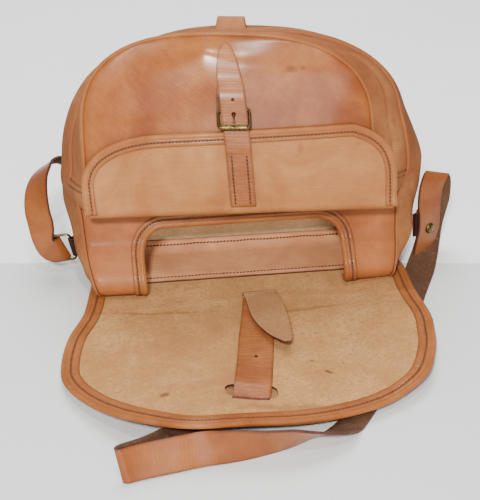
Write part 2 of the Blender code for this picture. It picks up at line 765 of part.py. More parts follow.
def right_place(out, up, back):
    """The same for the right ring, which lies between two layers of the strap."""
    side = STRAP_ACROSS * (RING_BAR_SIDE + out)
    behind = STRAP_FACING * (RING_BEHIND + RING_TILT * up + back)
    return RIVET_AT + side - behind + Vector((0, 0, up + 5.0)) - FRAME_SHIFT


def side_fitting(label, place, root):
    """A rounded rectangular ring, and the tab folded round its bar."""
    half = RING_HEIGHT / 2
    corners = [Vector((0, 0)), Vector((0, half)), Vector((RING_REACH, half)),
               Vector((RING_REACH, -half)), Vector((0, -half)), Vector((0, 0))]
    line = rounded_path(corners, RING_CORNER, 3)[:-1]
    tube("ring_" + label, [place(p.x, p.y, 0) for p in line], RING_WIRE, BRASS, closed=True)

    fold = RING_WIRE + 0.3 + TAB_LEATHER / 2
    section = [(-root, -fold), (0, -fold)]
    for k in range(1, 6):
        angle = math.radians(-90 + 30 * k)
        section.append((fold * math.cos(angle), fold * math.sin(angle)))
    section += [(0, fold), (-root, fold)]
    rows = [[place(out, TAB_HALF * k, back) for k in (-1, 0, 1)] for out, back in section]
    sheet("side_tab_" + label, rows, TAB_LEATHER, DARK)


# Shoulder strap, in two parts: middle point and direction from one edge to the other
STRAP_RIGHT = [
    (198.6, 39.5, 8, 25, 15, 7), (200.8, 40.7, 20, 25, 15, 1), (203, 41.5, 34, 25, 15, -3),
    (202.8, 42.6, 50, 25, 15, -3), (202.2, 44.5, 61, 26.5, 13, -4), (203.7, 48, 77, 27, 11, -5),
    (207.5, 52, 87, 28, 9, -7), (211, 56.5, 90.5, 28, 7, -9), (213.5, 60.5, 89, 28, 7, -9),
    (215.3, 62.5, 83, 28, 8, -8), (216.3, 62.5, 72, 28, 9, -6), (216, 61, 56, 28, 11, -5),
    (213.5, 59.8, 39, 27, 13, -4), (209.5, 56.3, 24, 27, 12, -3), (204, 46.5, 12, 27, 6, -1),
    (196, 29, 4.4, 27, -1, 0), (186.7, 8, 1.6, 27, -6, 0), (176.7, -12, 1.4, 27, -9, 0),
    (166, -34, 1.4, 27, -12, 0), (152.5, -64, 1.4, 26, -14, 0), (135, -102, 1.4, 26, -15, 0),
    (115, -142, 1.4, 25, -17, 0), (94, -179, 1.5, 22, -22, 0), (76, -209, 1.5, 14, -27, 0),
    (66.5, -223.5, 1.5, 9, -28, 0.5), (56, -237, 6, 4, -27.5, 9.5), (40, -247.5, 10.5, -1, -25, 19),
    (22, -252.5, 12.5, -2, -19.5, 24), (4, -257, 14.8, 0, -12, 28.6), (-20, -260.5, 15.6, 0, -5, 30),
    (-47, -260.8, 15.5, 0, 5, 30.3), (-72, -259.5, 14.6, 0, 13.5, 27.5), (-94, -263, 14.5, -1, 14.5, 27.3),
    (-116, -266.8, 14.4, -3, 14, 27.3), (-132, -270.4, 14.5, -5, 12.5, 27.5),
    (-140.5, -273, 14.6, -6, 11, 28), (-143.8, -271, 14.7, -5.5, 10.5, 28),
    (-141, -267.6, 14.7, -4.5, 10.5, 28), (-132, -264.4, 14.6, -4, 11.5, 27.5),
    (-120, -260, 14.3, -4, 12.5, 27), (-107, -252, 12.6, -7, 16, 22), (-92, -239, 9, -12, 20, 13),
    (-77, -224.5, 6, -15, 23, 7), (-65, -214, 4.6, -16, 24, 5)]
STRAP_LEFT = [
    (-206, 60.5, 31, -6, -6, 29), (-198, 58.6, 31, -7, -6, 29), (-190, 58.3, 33.2, -8, -6, 28.5),
    (-184.3, 53.5, 33.9, -10, -6, 28), (-189, 48.6, 33.4, -8, -6, 28.5), (-195.5, 48.4, 32.4, 1, -7, 29),
    (-202, 49.2, 38.5, 13, -8, 24.5), (-205, 52.5, 50, 20, -9, 17), (-206.9, 58, 61.5, 23, -12, 12),
    (-209, 63, 71, 23, -13, 11), (-209.8, 69, 81.5, 22, -11, 14), (-209.2, 76, 90.5, 21, -10, 16),
    (-207, 84, 98, 20, -13, 17), (-202.3, 94, 103, 17, -17, 17), (-196, 106, 104, 8, -25, 17),
    (-188.8, 120, 100.5, -2, -25, 17), (-181.6, 134, 92, -3, -20, 22), (-172, 147, 78, -1, -16, 26),
    (-156, 160, 58, 0, -12, 28), (-132, 169, 36, 0, -6, 29.5), (-98, 172, 18, 0, 0, 30),
    (-60, 168, 15.7, 0, 0, 30), (-30, 163, 15.7, 0, 0, 30), (-18, 161, 15.7, 0, 0, 30),
    (-10, 160, 15.7, 0, 0, 30)]
SHOULDER_HALF = 15.5
# Radius and height of the rivet: washer, shank and domed head
RIVET_PROFILE = [(3.8, -2.7), (3.8, -1.75), (1.5, -1.75), (1.5, 1.75), (5.0, 1.75), (4.6, 2.5),
                 (3.2, 3.2), (1.2, 3.5)]


def shoulder_strap(name, rows, tip_rows):
    line = curve_through([Vector(row[:3]) for row in rows], 2)
    sides = curve_through([Vector(row[3:]).normalized() for row in rows], 2)
    half = [SHOULDER_HALF] * len(line)
    for k in range(tip_rows):
        half[-1 - k] = SHOULDER_HALF * math.sqrt(1 - (1 - (k + 0.25) / (tip_rows + 0.25)) ** 2)
    stations = []
    for point, side, reach in zip(line, sides, half):
        upright = abs(side.normalized().z)
        rest = reach * upright + STRAP / 2 * math.sqrt(1 - upright ** 2) + 0.1
        stations.append((Vector((point.x, point.y, max(point.z, rest))) - FRAME_SHIFT, side))
    return sheet(name, ribbon_rows(stations, half), STRAP, STRAP_TAN)


def build_shoulder_strap():
    right = shoulder_strap("shoulder_strap_right", STRAP_RIGHT, 4)
    shoulder_strap("shoulder_strap_left", STRAP_LEFT, 4)
    side_fitting("left", left_place, 3.0)
    side_fitting("right", right_place, 3.5)
    turned("strap_rivet", RIVET_AT - FRAME_SHIFT, STRAP_FACING, RIVET_PROFILE, BRASS)
    punch(right, "rivet_hole", RIVET_AT - FRAME_SHIFT, STRAP_FACING, 1.9, 12)


build_body()
build_cutout_binding()
build_flap()
build_pocket()
build_pocket_flap()
build_pocket_strap()
build_closure_strap()
build_bottom_loop()
build_shoulder_strap()
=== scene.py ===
"""A soft leather shoulder bag, standing upside down on its open mouth with its flap laid forward."""
import math

import bpy
from mathutils import Matrix, Vector, noise


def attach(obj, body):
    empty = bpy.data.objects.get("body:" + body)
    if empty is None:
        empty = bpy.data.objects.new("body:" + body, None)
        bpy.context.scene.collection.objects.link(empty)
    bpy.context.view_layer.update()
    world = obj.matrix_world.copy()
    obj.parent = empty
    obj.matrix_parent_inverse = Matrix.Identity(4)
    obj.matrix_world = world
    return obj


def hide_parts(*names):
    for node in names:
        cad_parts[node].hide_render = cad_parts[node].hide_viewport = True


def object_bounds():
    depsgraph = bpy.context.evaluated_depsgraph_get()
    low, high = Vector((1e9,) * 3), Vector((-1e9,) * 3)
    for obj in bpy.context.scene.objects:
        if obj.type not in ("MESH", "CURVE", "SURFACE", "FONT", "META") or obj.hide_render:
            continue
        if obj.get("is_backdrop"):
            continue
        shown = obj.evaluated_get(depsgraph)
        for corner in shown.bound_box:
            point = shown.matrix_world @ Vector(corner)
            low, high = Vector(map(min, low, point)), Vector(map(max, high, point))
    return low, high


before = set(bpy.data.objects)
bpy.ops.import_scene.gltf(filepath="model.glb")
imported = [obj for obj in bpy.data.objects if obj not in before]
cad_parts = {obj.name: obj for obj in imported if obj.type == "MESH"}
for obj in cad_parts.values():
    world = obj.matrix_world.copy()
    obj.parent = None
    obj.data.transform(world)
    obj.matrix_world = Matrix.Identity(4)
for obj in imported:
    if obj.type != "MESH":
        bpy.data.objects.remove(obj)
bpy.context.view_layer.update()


# The table, the camera and the lights. The table is one pale board, a little brighter past a line
# behind the bag, where the backdrop starts. A flash near the camera gives the gloss on the leather,
# with a small light from above, a wide soft one from the front and one for the backdrop.

def paint(red, green, blue):
    """A colour read as 0-255, in the linear values that shaders take."""
    return (*[(c / 255 / 12.92) if c < 11 else ((c / 255 + 0.055) / 1.055) ** 2.4
              for c in (red, green, blue)], 1.0)


def put(tree, kind, inputs=None, **settings):
    """A shader node with its settings; an input is a plain value or the socket that feeds it."""
    node = tree.nodes.new(kind)
    for key, value in settings.items():
        setattr(node, key, value)
    for key, value in (inputs or {}).items():
        if isinstance(value, bpy.types.NodeSocket):
            tree.links.new(value, node.inputs[key])
        else:
            node.inputs[key].default_value = value
    return node


def mix(tree, share, first, second):
    return put(tree, 'ShaderNodeMix', {0: share, 6: first, 7: second}, data_type='RGBA').outputs[2]


def span(tree, value, low, high, to_low=0.0, to_high=1.0):
    return put(tree, 'ShaderNodeMapRange', {0: value, 1: low, 2: high, 3: to_low, 4: to_high}).outputs[0]


def add(tree, first, second):
    return put(tree, 'ShaderNodeMath', {0: first, 1: second}, operation='ADD').outputs[0]


def times(tree, first, second):
    return put(tree, 'ShaderNodeMath', {0: first, 1: second}, operation='MULTIPLY').outputs[0]


def clouds(tree, place, scale, detail, **more):
    """Noise of one size; its other inputs go by their own names."""
    inputs = {'Vector': place, 'Scale': scale, 'Detail': detail, **more}
    return put(tree, 'ShaderNodeTexNoise', inputs).outputs[0]


def new_finish(name, plain):
    """A material with these plain values, its nodes, its shader's inputs and the place on the piece."""
    material = bpy.data.materials.new(name)
    material.use_nodes = True
    tree = material.node_tree
    shader = tree.nodes['Principled BSDF'].inputs
    for key, value in plain.items():
        shader[key].default_value = value
    return material, tree, shader, put(tree, 'ShaderNodeTexCoord').outputs['Object']


TABLE_SIZE, TABLE_DROP = 9.0, 0.0004
BACK_EDGE = (0.101, 0.104)
VIEW_COS, VIEW_SIN = 0.9914, 0.1305

bpy.ops.object.select_all(action='DESELECT')
bpy.ops.mesh.primitive_plane_add(size=TABLE_SIZE, location=(0, 0, 0))
table = bpy.context.object
table.name = "table"
table.data.transform(Matrix.Translation((0, 0, -TABLE_DROP)))
board, tree, shader, place = new_finish("pale_board", {'Roughness': 0.6})
parts = put(tree, 'ShaderNodeSeparateXYZ', {0: place}).outputs
away = add(tree, times(tree, parts[0], VIEW_SIN), times(tree, parts[1], VIEW_COS))
shade = mix(tree, span(tree, away, *BACK_EDGE), paint(216, 219, 218), paint(252, 254, 253))
patches = span(tree, clouds(tree, place, 3.0, 2.0), 0.3, 0.7, 0.0, 0.12)
tree.links.new(mix(tree, patches, shade, paint(206, 209, 211)), shader['Base Color'])
table.data.materials.append(board)
table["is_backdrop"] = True

lens = bpy.data.cameras.new("photo_camera")
lens.lens = 90.0
lens.sensor_fit = 'VERTICAL'
lens.sensor_height = 36.0
lens.sensor_width = 36.0
lens.clip_end = 30.0
camera = bpy.data.objects.new("photo_camera", lens)
bpy.context.scene.collection.objects.link(camera)
axes = Matrix(((VIEW_COS, 0.0692, -0.1107), (-VIEW_SIN, 0.5254, -0.8408), (0.0, 0.8480, 0.5299)))
camera.matrix_world = Matrix.Translation((-0.1516, -1.0183, 0.7233)) @ axes.to_4x4()
bpy.context.scene.camera = camera


def soft_light(name, at, towards, size, power, colour):
    lamp = bpy.data.lights.new(name, 'AREA')
    lamp.shape = 'DISK'
    lamp.size = size
    lamp.energy = power
    lamp.color = colour
    light = bpy.data.objects.new(name, lamp)
    bpy.context.scene.collection.objects.link(light)
    light.location = at
    light.rotation_mode = 'QUATERNION'
    light.rotation_quaternion = (Vector(towards) - Vector(at)).to_track_quat('-Z', 'Y')


soft_light("flash", (-0.42, -1.62, 1.45), (0, 0.05, 0.08), 0.22, 60.0, (1.0, 0.98, 0.96))
soft_light("overhead", (-0.08, -0.80, 1.95), (0, 0.05, 0.08), 0.16, 13.0, (1.0, 0.98, 0.96))
soft_light("front", (0.10, -2.10, 0.60), (0, 0.0, 0.05), 1.1, 20.0, (1.0, 0.98, 0.97))
soft_light("backdrop", (0.0, 1.25, 2.1), (0, 0.9, 0.0), 1.6, 58.0, (1.0, 0.99, 0.98))
room = bpy.data.worlds.new("room")
room.use_nodes = True
room.node_tree.nodes['Background'].inputs[0].default_value = (0.80, 0.83, 0.87, 1.0)
room.node_tree.nodes['Background'].inputs[1].default_value = 0.42
bpy.context.scene.world = room


# How the bag stands. Positions are in millimetres on the bag itself: u runs across it, v from its
# mouth to its bottom, which is uppermost here, and w from its back to its front. The soft body leans
# back on its mouth, and is turned and pushed a little to one side towards its top.

MM = 0.001
SHIFT = Vector((4.28, -52.53, 0.0))
LEAN = math.radians(20.0)
FOOT = 85.0
TWIST = math.radians(-9.0)
TWIST_HEIGHT = 250.0
TWIST_AXIS = 30.0
SIDEWAYS = 0.03
DEPTH = 84.0
UP = (0, 0, 1)
FORWARD = (0, -1, 0.3)


def ease(start, end, x):
    t = min(max((x - start) / (end - start), 0.0), 1.0)
    return t * t * (3.0 - 2.0 * t)


def ripple(x, y, size, seed=0.0):
    """Soft random waves between about -1 and 1."""
    return noise.noise(Vector((x / size + seed, y / size - seed, seed * 1.7)))


def bag(u, y, z):
    """A place on the upright bag, twisted and pushed aside, in the scene."""
    turn = TWIST * max(z, 0.0) / TWIST_HEIGHT
    x = u - SIDEWAYS * z
    deep = y - TWIST_AXIS
    return Vector((x * math.cos(turn) - deep * math.sin(turn),
                   x * math.sin(turn) + deep * math.cos(turn) + TWIST_AXIS, z)) - SHIFT


def leaned(u, v, w):
    """A place on the leaning body in the scene."""
    return bag(u, FOOT + v * math.sin(LEAN) - w * math.cos(LEAN), v * math.cos(LEAN) + w * math.sin(LEAN))


# The hide. Vegetable-tanned cowhide, grain side out: pores, fine wrinkles, mottled tan that has
# darkened at the cut edges and stains. The bindings are darker along their stitch grooves: dark stitch
# holes and painted shade in the groove. Its flesh side, inside the bag and on the laid flap, is a
# rough suede; inside the bag it is painted lighter, as painted light where the arch shades it.
# Thread and the burnished cut edges are a dark red-brown.

def open_group(name, inputs, outputs):
    """A shader node group with sockets by kind: its nodes, what it is given and what it gives."""
    tree = bpy.data.node_groups.new(name, 'ShaderNodeTree')
    for way, sockets in (('INPUT', inputs), ('OUTPUT', outputs)):
        for kind, labels in sockets.items():
            for label in labels:
                tree.interface.new_socket(name=label, in_out=way, socket_type='NodeSocket' + kind)
    return tree, tree.nodes.new('NodeGroupInput').outputs, tree.nodes.new('NodeGroupOutput').inputs


def hide_grain_group():
    """Pores, wrinkles along one direction and mottling of grain leather, with painted shade in stitch
    grooves.
    """
    tree, given, result = open_group(
        "hide_grain", {'Vector': ("Place", "Creased place"), 'Float': ("Edge distance", "Wrinkles", "Seam"),
                       'Color': ("Light", "Deep", "Burnt and shade")},
        {'Color': ("Colour",), 'Float': ("Height", "Roughness")})
    place, creased = given["Place"], given["Creased place"]
    cloud = clouds(tree, place, 13.0, 5.0, Roughness=0.62, Distortion=0.6)
    blotch = clouds(tree, place, 75.0, 4.0)
    fuzz = clouds(tree, place, 520.0, 3.0)
    pores = put(tree, 'ShaderNodeTexVoronoi', {'Vector': place, 'Scale': 950.0}).outputs['Distance']
    stretch = put(tree, 'ShaderNodeMapping', {'Vector': creased, 'Scale': (1.0, 9.0, 1.0)}).outputs[0]
    lines = clouds(tree, stretch, 36.0, 4.0, Roughness=0.55, Distortion=0.3)
    bands = put(tree, 'ShaderNodeTexWave', {'Vector': creased, 'Scale': 100.0, 'Distortion': 7.0,
                                            'Detail': 2.0, 'Detail Scale': 0.10},
                wave_type='BANDS', bands_direction='Y').outputs['Fac']
    folds = times(tree, span(tree, bands, 0.35, 1.0), span(tree, cloud, 0.35, 0.6, 0.2, 1.0))
    ridges = add(tree, times(tree, span(tree, lines, 0.34, 0.66), 0.5), times(tree, folds, 0.5))
    rim = add(tree, span(tree, given["Edge distance"], 0.0, 2.6, 0.45, 0.0),
              span(tree, given["Edge distance"], 0.0, 22.0, 0.14, 0.0))
    body = mix(tree, span(tree, cloud, 0.36, 0.64), given["Deep"], given["Light"])
    body = mix(tree, span(tree, blotch, 0.40, 0.68, 0.0, 0.42), body, given["Deep"])
    # The stitch groove mask darkens towards the darkest tone: painted shade in the groove, with the dark
    # stitch holes.
    for share in (times(tree, span(tree, ridges, 0.62, 0.30, 0.0, 0.34), given["Wrinkles"]),
                  times(tree, rim, span(tree, blotch, 0.3, 0.75, 1.15, 0.55)),
                  times(tree, given["Seam"], 0.75), span(tree, pores, 0.0, 0.35, 0.12, 0.0)):
        body = mix(tree, share, body, given["Burnt and shade"])
    height = add(tree, times(tree, pores, 0.20), times(tree, fuzz, 0.35))
    height = add(tree, height, times(tree, times(tree, ridges, given["Wrinkles"]), 1.6))
    rough = add(tree, span(tree, cloud, 0.3, 0.7, 0.10, -0.05), span(tree, fuzz, 0.3, 0.7, 0.06, -0.02))
    for label, value in (("Colour", body), ("Height", height), ("Roughness", add(tree, rough, 0.40))):
        tree.links.new(value, result[label])
    return tree


hide_grain = hide_grain_group()


def roughen(tree, shader, height, distance, strength):
    bump = put(tree, 'ShaderNodeBump', {'Height': height, 'Distance': distance, 'Strength': strength})
    tree.links.new(bump.outputs[0], shader['Normal'])


def grain_side(name, light, deep, burnt_and_shade, wrinkles, wrinkle_turn, gloss, height=0.00022, dull=0.0,
               fineness=1.0, shine=0.1):
    """The outside of a piece of hide; its wrinkles run at an angle on the piece's own plan."""
    material, tree, shader, place = new_finish(
        name, {'Specular IOR Level': shine, 'Coat Weight': gloss, 'Coat Roughness': 0.2})
    plan = put(tree, 'ShaderNodeUVMap').outputs[0]
    turned = put(tree, 'ShaderNodeMapping', {'Vector': plan, 'Rotation': (0, 0, math.radians(wrinkle_turn)),
                                             'Scale': (fineness, fineness, 1.0)}).outputs[0]
    edge = put(tree, 'ShaderNodeAttribute', attribute_name="edge").outputs['Fac']
    # The seam attribute marks painted shade along the stitch grooves of bindings.
    seam = put(tree, 'ShaderNodeAttribute', attribute_name="seam").outputs['Fac']
    grain = put(tree, 'ShaderNodeGroup', {
        "Place": place, "Creased place": turned, "Edge distance": edge, "Seam": seam, "Wrinkles": wrinkles,
        "Light": paint(*light), "Deep": paint(*deep), "Burnt and shade": paint(*burnt_and_shade)}, node_tree=hide_grain).outputs
    tree.links.new(grain["Colour"], shader['Base Color'])
    tree.links.new(add(tree, grain["Roughness"], dull), shader['Roughness'])
    roughen(tree, shader, grain["Height"], height, 0.8)
    return material


def flesh_side(name, light, deep, fibre=1.0):
    """The rough inside of the hide: short fibres, blotches and dark specks."""
    material, tree, shader, place = new_finish(name, {'Roughness': 0.95, 'Specular IOR Level': 0.1})
    cloud = clouds(tree, place, 16.0, 6.0, Roughness=0.68)
    tuft = clouds(tree, place, 300.0 * fibre, 5.0, Roughness=0.75)
    speck, patchy = clouds(tree, place, 240.0, 3.0), clouds(tree, place, 28.0, 3.0)
    body = mix(tree, span(tree, cloud, 0.33, 0.66), paint(*deep), paint(*light))
    body = mix(tree, span(tree, tuft, 0.38, 0.62, 0.75, 0.0), body, paint(*deep))
    body = mix(tree, span(tree, tuft, 0.56, 0.70, 0.0, 0.35), body, paint(*light))
    dots = times(tree, span(tree, speck, 0.60, 0.70), span(tree, patchy, 0.45, 0.65, 0.1, 0.75))
    tree.links.new(mix(tree, dots, body, paint(128, 92, 66)), shader['Base Color'])
    roughen(tree, shader, tuft, 0.0009, 0.9)
    return material


def plain_finish(name, first, second, roughness, scale, metal=0.0):
    """Thread, raw edges and brass: two tones that vary at one scale."""
    material, tree, shader, place = new_finish(name, {'Metallic': metal})
    spread = clouds(tree, place, scale, 4.0)
    tone = mix(tree, span(tree, spread, 0.35, 0.65), paint(*first), paint(*second))
    tree.links.new(tone, shader['Base Color'])
    tree.links.new(span(tree, spread, 0.3, 0.7, roughness - 0.08, roughness + 0.12), shader['Roughness'])
    roughen(tree, shader, clouds(tree, place, scale * 6.0, 2.0), 0.0001, 0.5)
    return material


def stain_group():
    """A soft, ragged patch around a place, as wide and long as its reach, turned on the surface."""
    tree, given, result = open_group("stain", {'Vector': ("Place", "Middle", "Turn", "Reach")},
                                     {'Float': ("Mask",)})
    local = put(tree, 'ShaderNodeMapping', {'Vector': given["Place"], 'Location': given["Middle"],
                                            'Rotation': given["Turn"], 'Scale': given["Reach"]},
                vector_type='TEXTURE').outputs[0]
    size = put(tree, 'ShaderNodeVectorMath', {0: local}, operation='LENGTH').outputs['Value']
    ragged = span(tree, clouds(tree, given["Place"], 130.0, 4.0), 0.3, 0.7, -0.45, 0.45)
    tree.links.new(span(tree, add(tree, size, ragged), 1.0, 0.35), result["Mask"])
    return tree


stain = stain_group()


def marked(material, marks):
    """Adds stains to a material: middle, reach and turn in the scene, then colour and strength."""
    tree = material.node_tree
    tone = tree.nodes['Principled BSDF'].inputs['Base Color']
    for middle, reach, turn, colour, strength in marks:
        mask = put(tree, 'ShaderNodeGroup', {
            "Place": put(tree, 'ShaderNodeTexCoord').outputs['Object'], "Middle": Vector(middle) * MM,
            "Turn": (0, 0, math.radians(turn)), "Reach": Vector(reach) * MM}, node_tree=stain).outputs["Mask"]
        under = tone.links[0].from_socket
        tree.links.new(mix(tree, times(tree, mask, strength), under, paint(*colour)), tone)


panel_tan = grain_side("panel_tan", (166, 101, 56), (142, 79, 41), (92, 40, 18), 0.10, 0.0, 0.02)
gusset_tan = grain_side("gusset_tan", (172, 114, 68), (134, 80, 48), (82, 44, 28), 0.3, 78.0, 0.0,
                        0.00026, 0.3, shine=0.05)
marked(gusset_tan, [((148, 116, 196), (7, 7, 5), 0, (72, 44, 34), 0.9),
                    ((131, 97, 193), (5, 5, 4), 0, (60, 34, 26), 0.9),
                    ((140, 105, 205), (12, 12, 22), 0, (112, 84, 68), 0.4),
                    ((-150, 78, 150), (8, 12, 40), 0, (104, 78, 62), 0.35)])
binding_tan = grain_side("binding_tan", (166, 104, 55), (140, 80, 40), (84, 36, 18), 0.3, 0.0, 0.14)
# Paler than the flap's suede, though it is the same hide: painted light, for the inside of the bag that the
# arch shades.
inside_suede_painted_light = flesh_side("inside_suede_painted_light", (234, 198, 150), (204, 164, 118))
cut_edge = plain_finish("cut_edge", (84, 38, 20), (56, 24, 12), 0.6, 300.0)
thread = plain_finish("thread", (88, 48, 26), (56, 30, 16), 0.8, 900.0)


# The body. Back panel, front panel with its arched cutout, and the wide gusset between them, all
# 2.2 mm hide, sewn with a covered cord in each seam. The front panel's two lobes turn under at the
# mouth. Every panel is cut flat, so it bends smoothly, and the soft gusset sags a little.

HIDE = 2.2
BEND = 25.0
LOBE_BEND = 11.0
LOBE_FOOT = 8.8
LOBE_FLARE = 16.0
FRONT_TOP = 236.0
BACK_TOP = 249.0


def edge_raise(u):
    """The sides of the back and the flap lie higher, on their seams and bindings."""
    return 2.2 * ease(95.0, 143.0, abs(u))


def back_skin(u, s, off=0.0):
    """The back: it rises from the table in one bend, and bulges a little in its middle."""
    bend_end = BEND * (math.pi / 2 - LEAN)
    angle = math.radians(270.0) + min(max(s, 0.0), bend_end) / BEND
    bulge = 5.0 * max(0.0, 1 - (u / 165.0) ** 2) * math.sin(math.pi * ease(25.0, 245.0, s))
    radius = BEND + off + bulge
    y = 68.0 + radius * math.cos(angle) + min(s, 0.0)
    z = 1.1 + BEND + radius * math.sin(angle) + edge_raise(u) * ease(20.0, 0.0, s)
    past = max(s - bend_end, 0.0)
    return bag(u, y + past * math.sin(LEAN), z + past * math.cos(LEAN))


def front_skin(u, s, off=0.0):
    """The front: flat, flared forward near the mouth, where its lobes roll under."""
    s -= 5.8 * ease(40.0, -5.0, s)
    depth = DEPTH + LOBE_FLARE
    start = (LOBE_FOOT + LOBE_BEND * (1 + math.sin(LEAN)) - depth * math.sin(LEAN)) / math.cos(LEAN)
    if s >= start:
        return leaned(u, s, DEPTH + LOBE_FLARE * ease(32.0, start, s) + off)
    centre_y = FOOT + start * math.sin(LEAN) + (LOBE_BEND - depth) * math.cos(LEAN)
    centre_z = start * math.cos(LEAN) + (depth - LOBE_BEND) * math.sin(LEAN)
    full = math.pi / 2 + LEAN
    angle = math.pi - LEAN + min((start - s) / LOBE_BEND, full)
    under = max(start - s - full * LOBE_BEND, 0.0)
    radius = LOBE_BEND + off
    return bag(u, centre_y + radius * math.cos(angle) + under, centre_z + radius * math.sin(angle))


def laid(skin, line, off=0.0):
    """A plan line laid on one of the bag's surfaces."""
    return [skin(p.x, p.y, off) for p in line]


def spots(*places):
    return [Vector(place) for place in places]


def curve_through(points, steps=6):
    ends = [points[0] * 2 - points[1], *points, points[-1] * 2 - points[-2]]
    line = []
    for a, b, c, d in zip(ends, ends[1:], ends[2:], ends[3:]):
        for k in range(steps):
            t = k / steps
            line.append(0.5 * (2 * b + (c - a) * t + (2 * a - 5 * b + 4 * c - d) * t ** 2
                               + (3 * b - a - 3 * c + d) * t ** 3))
    return [*line, points[-1].copy()]


def lengths(line):
    total = [0.0]
    for a, b in zip(line, line[1:]):
        total.append(total[-1] + (b - a).length)
    return total


def along(line, total, marks):
    """Points at these rising distances along a line, carried on straight past its ends."""
    found, k = [], 0
    for mark in marks:
        while k < len(line) - 2 and total[k + 1] < mark:
            k += 1
        found.append(line[k].lerp(line[k + 1], (mark - total[k]) / (total[k + 1] - total[k])))
    return found


def even(line, count, start=0.0, end=1.0):
    """This many even points between two shares of a line's length."""
    total = lengths(line)
    return along(line, total, [total[-1] * (start + (end - start) * i / (count - 1)) for i in range(count)])


def inset(line, distance):
    moved = []
    for i, point in enumerate(line):
        step = (line[min(i + 1, len(line) - 1)] - line[max(i - 1, 0)]).normalized()
        moved.append(point + Vector((step.y, -step.x)) * distance)
    return moved


def rounded_path(points, radius, steps=5):
    path = [points[0]]
    for a, b, c in zip(points, points[1:], points[2:]):
        into, out = (b - a).normalized(), (c - b).normalized()
        turn = into.angle_signed(out)
        reach = radius * math.tan(abs(turn) / 2)
        centre = b - into * reach + Vector((into.y, -into.x)) * math.copysign(radius, turn)
        spoke = b - into * reach - centre
        for k in range(steps + 1):
            angle = -turn * k / steps
            path.append(centre + Vector((spoke.x * math.cos(angle) - spoke.y * math.sin(angle),
                                         spoke.x * math.sin(angle) + spoke.y * math.cos(angle))))
    return [*path, points[-1]]


def dome(centre, half, shoulder, top, left_power, right_power, steps=24):
    """The rounded top of an outline; a higher power makes a squarer corner."""
    line = []
    for k in range(steps + 1):
        angle = math.pi * (1.0 - k / steps)
        power = left_power if 2 * k < steps else right_power
        across = math.copysign(abs(math.cos(angle)) ** (2 / power), math.cos(angle))
        rise = math.sin(angle) ** (2 / power) if 0 < k < steps else 0.0
        line.append(Vector((centre + half * across, shoulder + (top - shoulder) * rise)))
    return line


def pinched(line, depth, height, spread):
    """An outline whose right side is drawn in around one height."""
    moves = [depth * ease(0, 60, p.x) * math.exp(-((p.y - height) / spread) ** 2) for p in line]
    return [p - Vector((move, 0)) for p, move in zip(line, moves)]


def arched_outline(centre, flank, arch):
    left = [Vector((centre - half, height)) for height, half in flank]
    right = [Vector((centre + half, height)) for height, half in reversed(flank)]
    return curve_through(left + arch + right, 6)


def above(line, height):
    """The share of an outline's length at which it passes this height."""
    total = lengths(line)
    return next(t + height - p.y for p, t in zip(line, total) if p.y > height) / total[-1]


def fill_outline(outline, across, up):
    """Rows of plan points that fill an outline closed by a straight base line."""
    share = 0.34
    left = even(outline, up, 0.0, share)
    top = even(outline, across, share, 1 - share)
    right = list(reversed(even(outline, up, 1 - share, 1.0)))
    base = even([outline[0], outline[-1]], across)
    side = lengths(left)
    rows = []
    for j in range(up):
        q = side[j] / side[-1]
        row = []
        for i in range(across):
            p = i / (across - 1)
            corners = base[0].lerp(base[-1], p).lerp(top[0].lerp(top[-1], p), q)
            row.append(base[i].lerp(top[i], q) + left[j].lerp(right[j], p) - corners)
        rows.append(row)
    return rows


def edge_distance(rows):
    """How far each point lies from the piece's own edge, along the grid, in millimetres."""
    near = []
    for row in rows:
        run = lengths(row)
        near.append([min(d, run[-1] - d) for d in run])
    for i in range(len(rows[0])):
        run = lengths([row[i] for row in rows])
        for j in range(len(rows)):
            near[j][i] = min(near[j][i], run[j], run[-1] - run[j])
    return near


def note(piece, name, values):
    piece.data.attributes.new(name, 'FLOAT', 'POINT').data.foreach_set("value", values)


def dressed(piece, replaced=None):
    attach(piece, "root")
    if replaced:
        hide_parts(replaced)
    return piece


def cut_hide(name, plan, rows, thickness, faces, towards, replaced=None,
             rounding=0.45, seam=None):
    """A piece of hide through rows of points, its first face towards a direction, cut edges rounded."""
    j, i = len(rows) // 2, len(rows[0]) // 2
    if (rows[j][i + 1] - rows[j][i]).cross(rows[j + 1][i] - rows[j][i]).dot(Vector(towards)) < 0:
        rows = [list(reversed(row)) for row in rows]
        plan = [list(reversed(row)) for row in plan]
        seam = seam and [list(reversed(row)) for row in seam]
    bpy.ops.object.select_all(action='DESELECT')
    bpy.ops.mesh.primitive_grid_add(x_subdivisions=len(rows[0]) - 1, y_subdivisions=len(rows) - 1, size=1)
    piece = bpy.context.object
    piece.name = piece.data.name = name
    points = [p for row in rows for p in row]
    places = [p for row in plan for p in row]
    near = [d for row in edge_distance(rows) for d in row]
    for vert, point in zip(piece.data.vertices, points):
        vert.co = point * MM
    chart = piece.data.uv_layers.active.data
    for loop in piece.data.loops:
        chart[loop.index].uv = places[loop.vertex_index] * MM
    note(piece, "edge", near)
    # The seam shares mark painted shade along a binding's stitch groove.
    if seam:
        note(piece, "seam", [share for row in seam for share in row])
    for finish in (*faces, cut_edge):
        piece.data.materials.append(finish)
    shell = piece.modifiers.new("Thickness", 'SOLIDIFY')
    shell.thickness = thickness * MM
    shell.offset = 0.0
    shell.material_offset = 1
    shell.material_offset_rim = 2
    bpy.ops.object.modifier_apply(modifier="Thickness")
    rim = piece.modifiers.new("Rounded edge", 'BEVEL')
    rim.width = rounding * MM
    rim.segments = 2
    rim.limit_method = 'ANGLE'
    rim.angle_limit = math.radians(55)
    bpy.ops.object.modifier_apply(modifier="Rounded edge")
    bpy.ops.object.shade_smooth_by_angle(angle=math.radians(50))
    return dressed(piece, replaced)


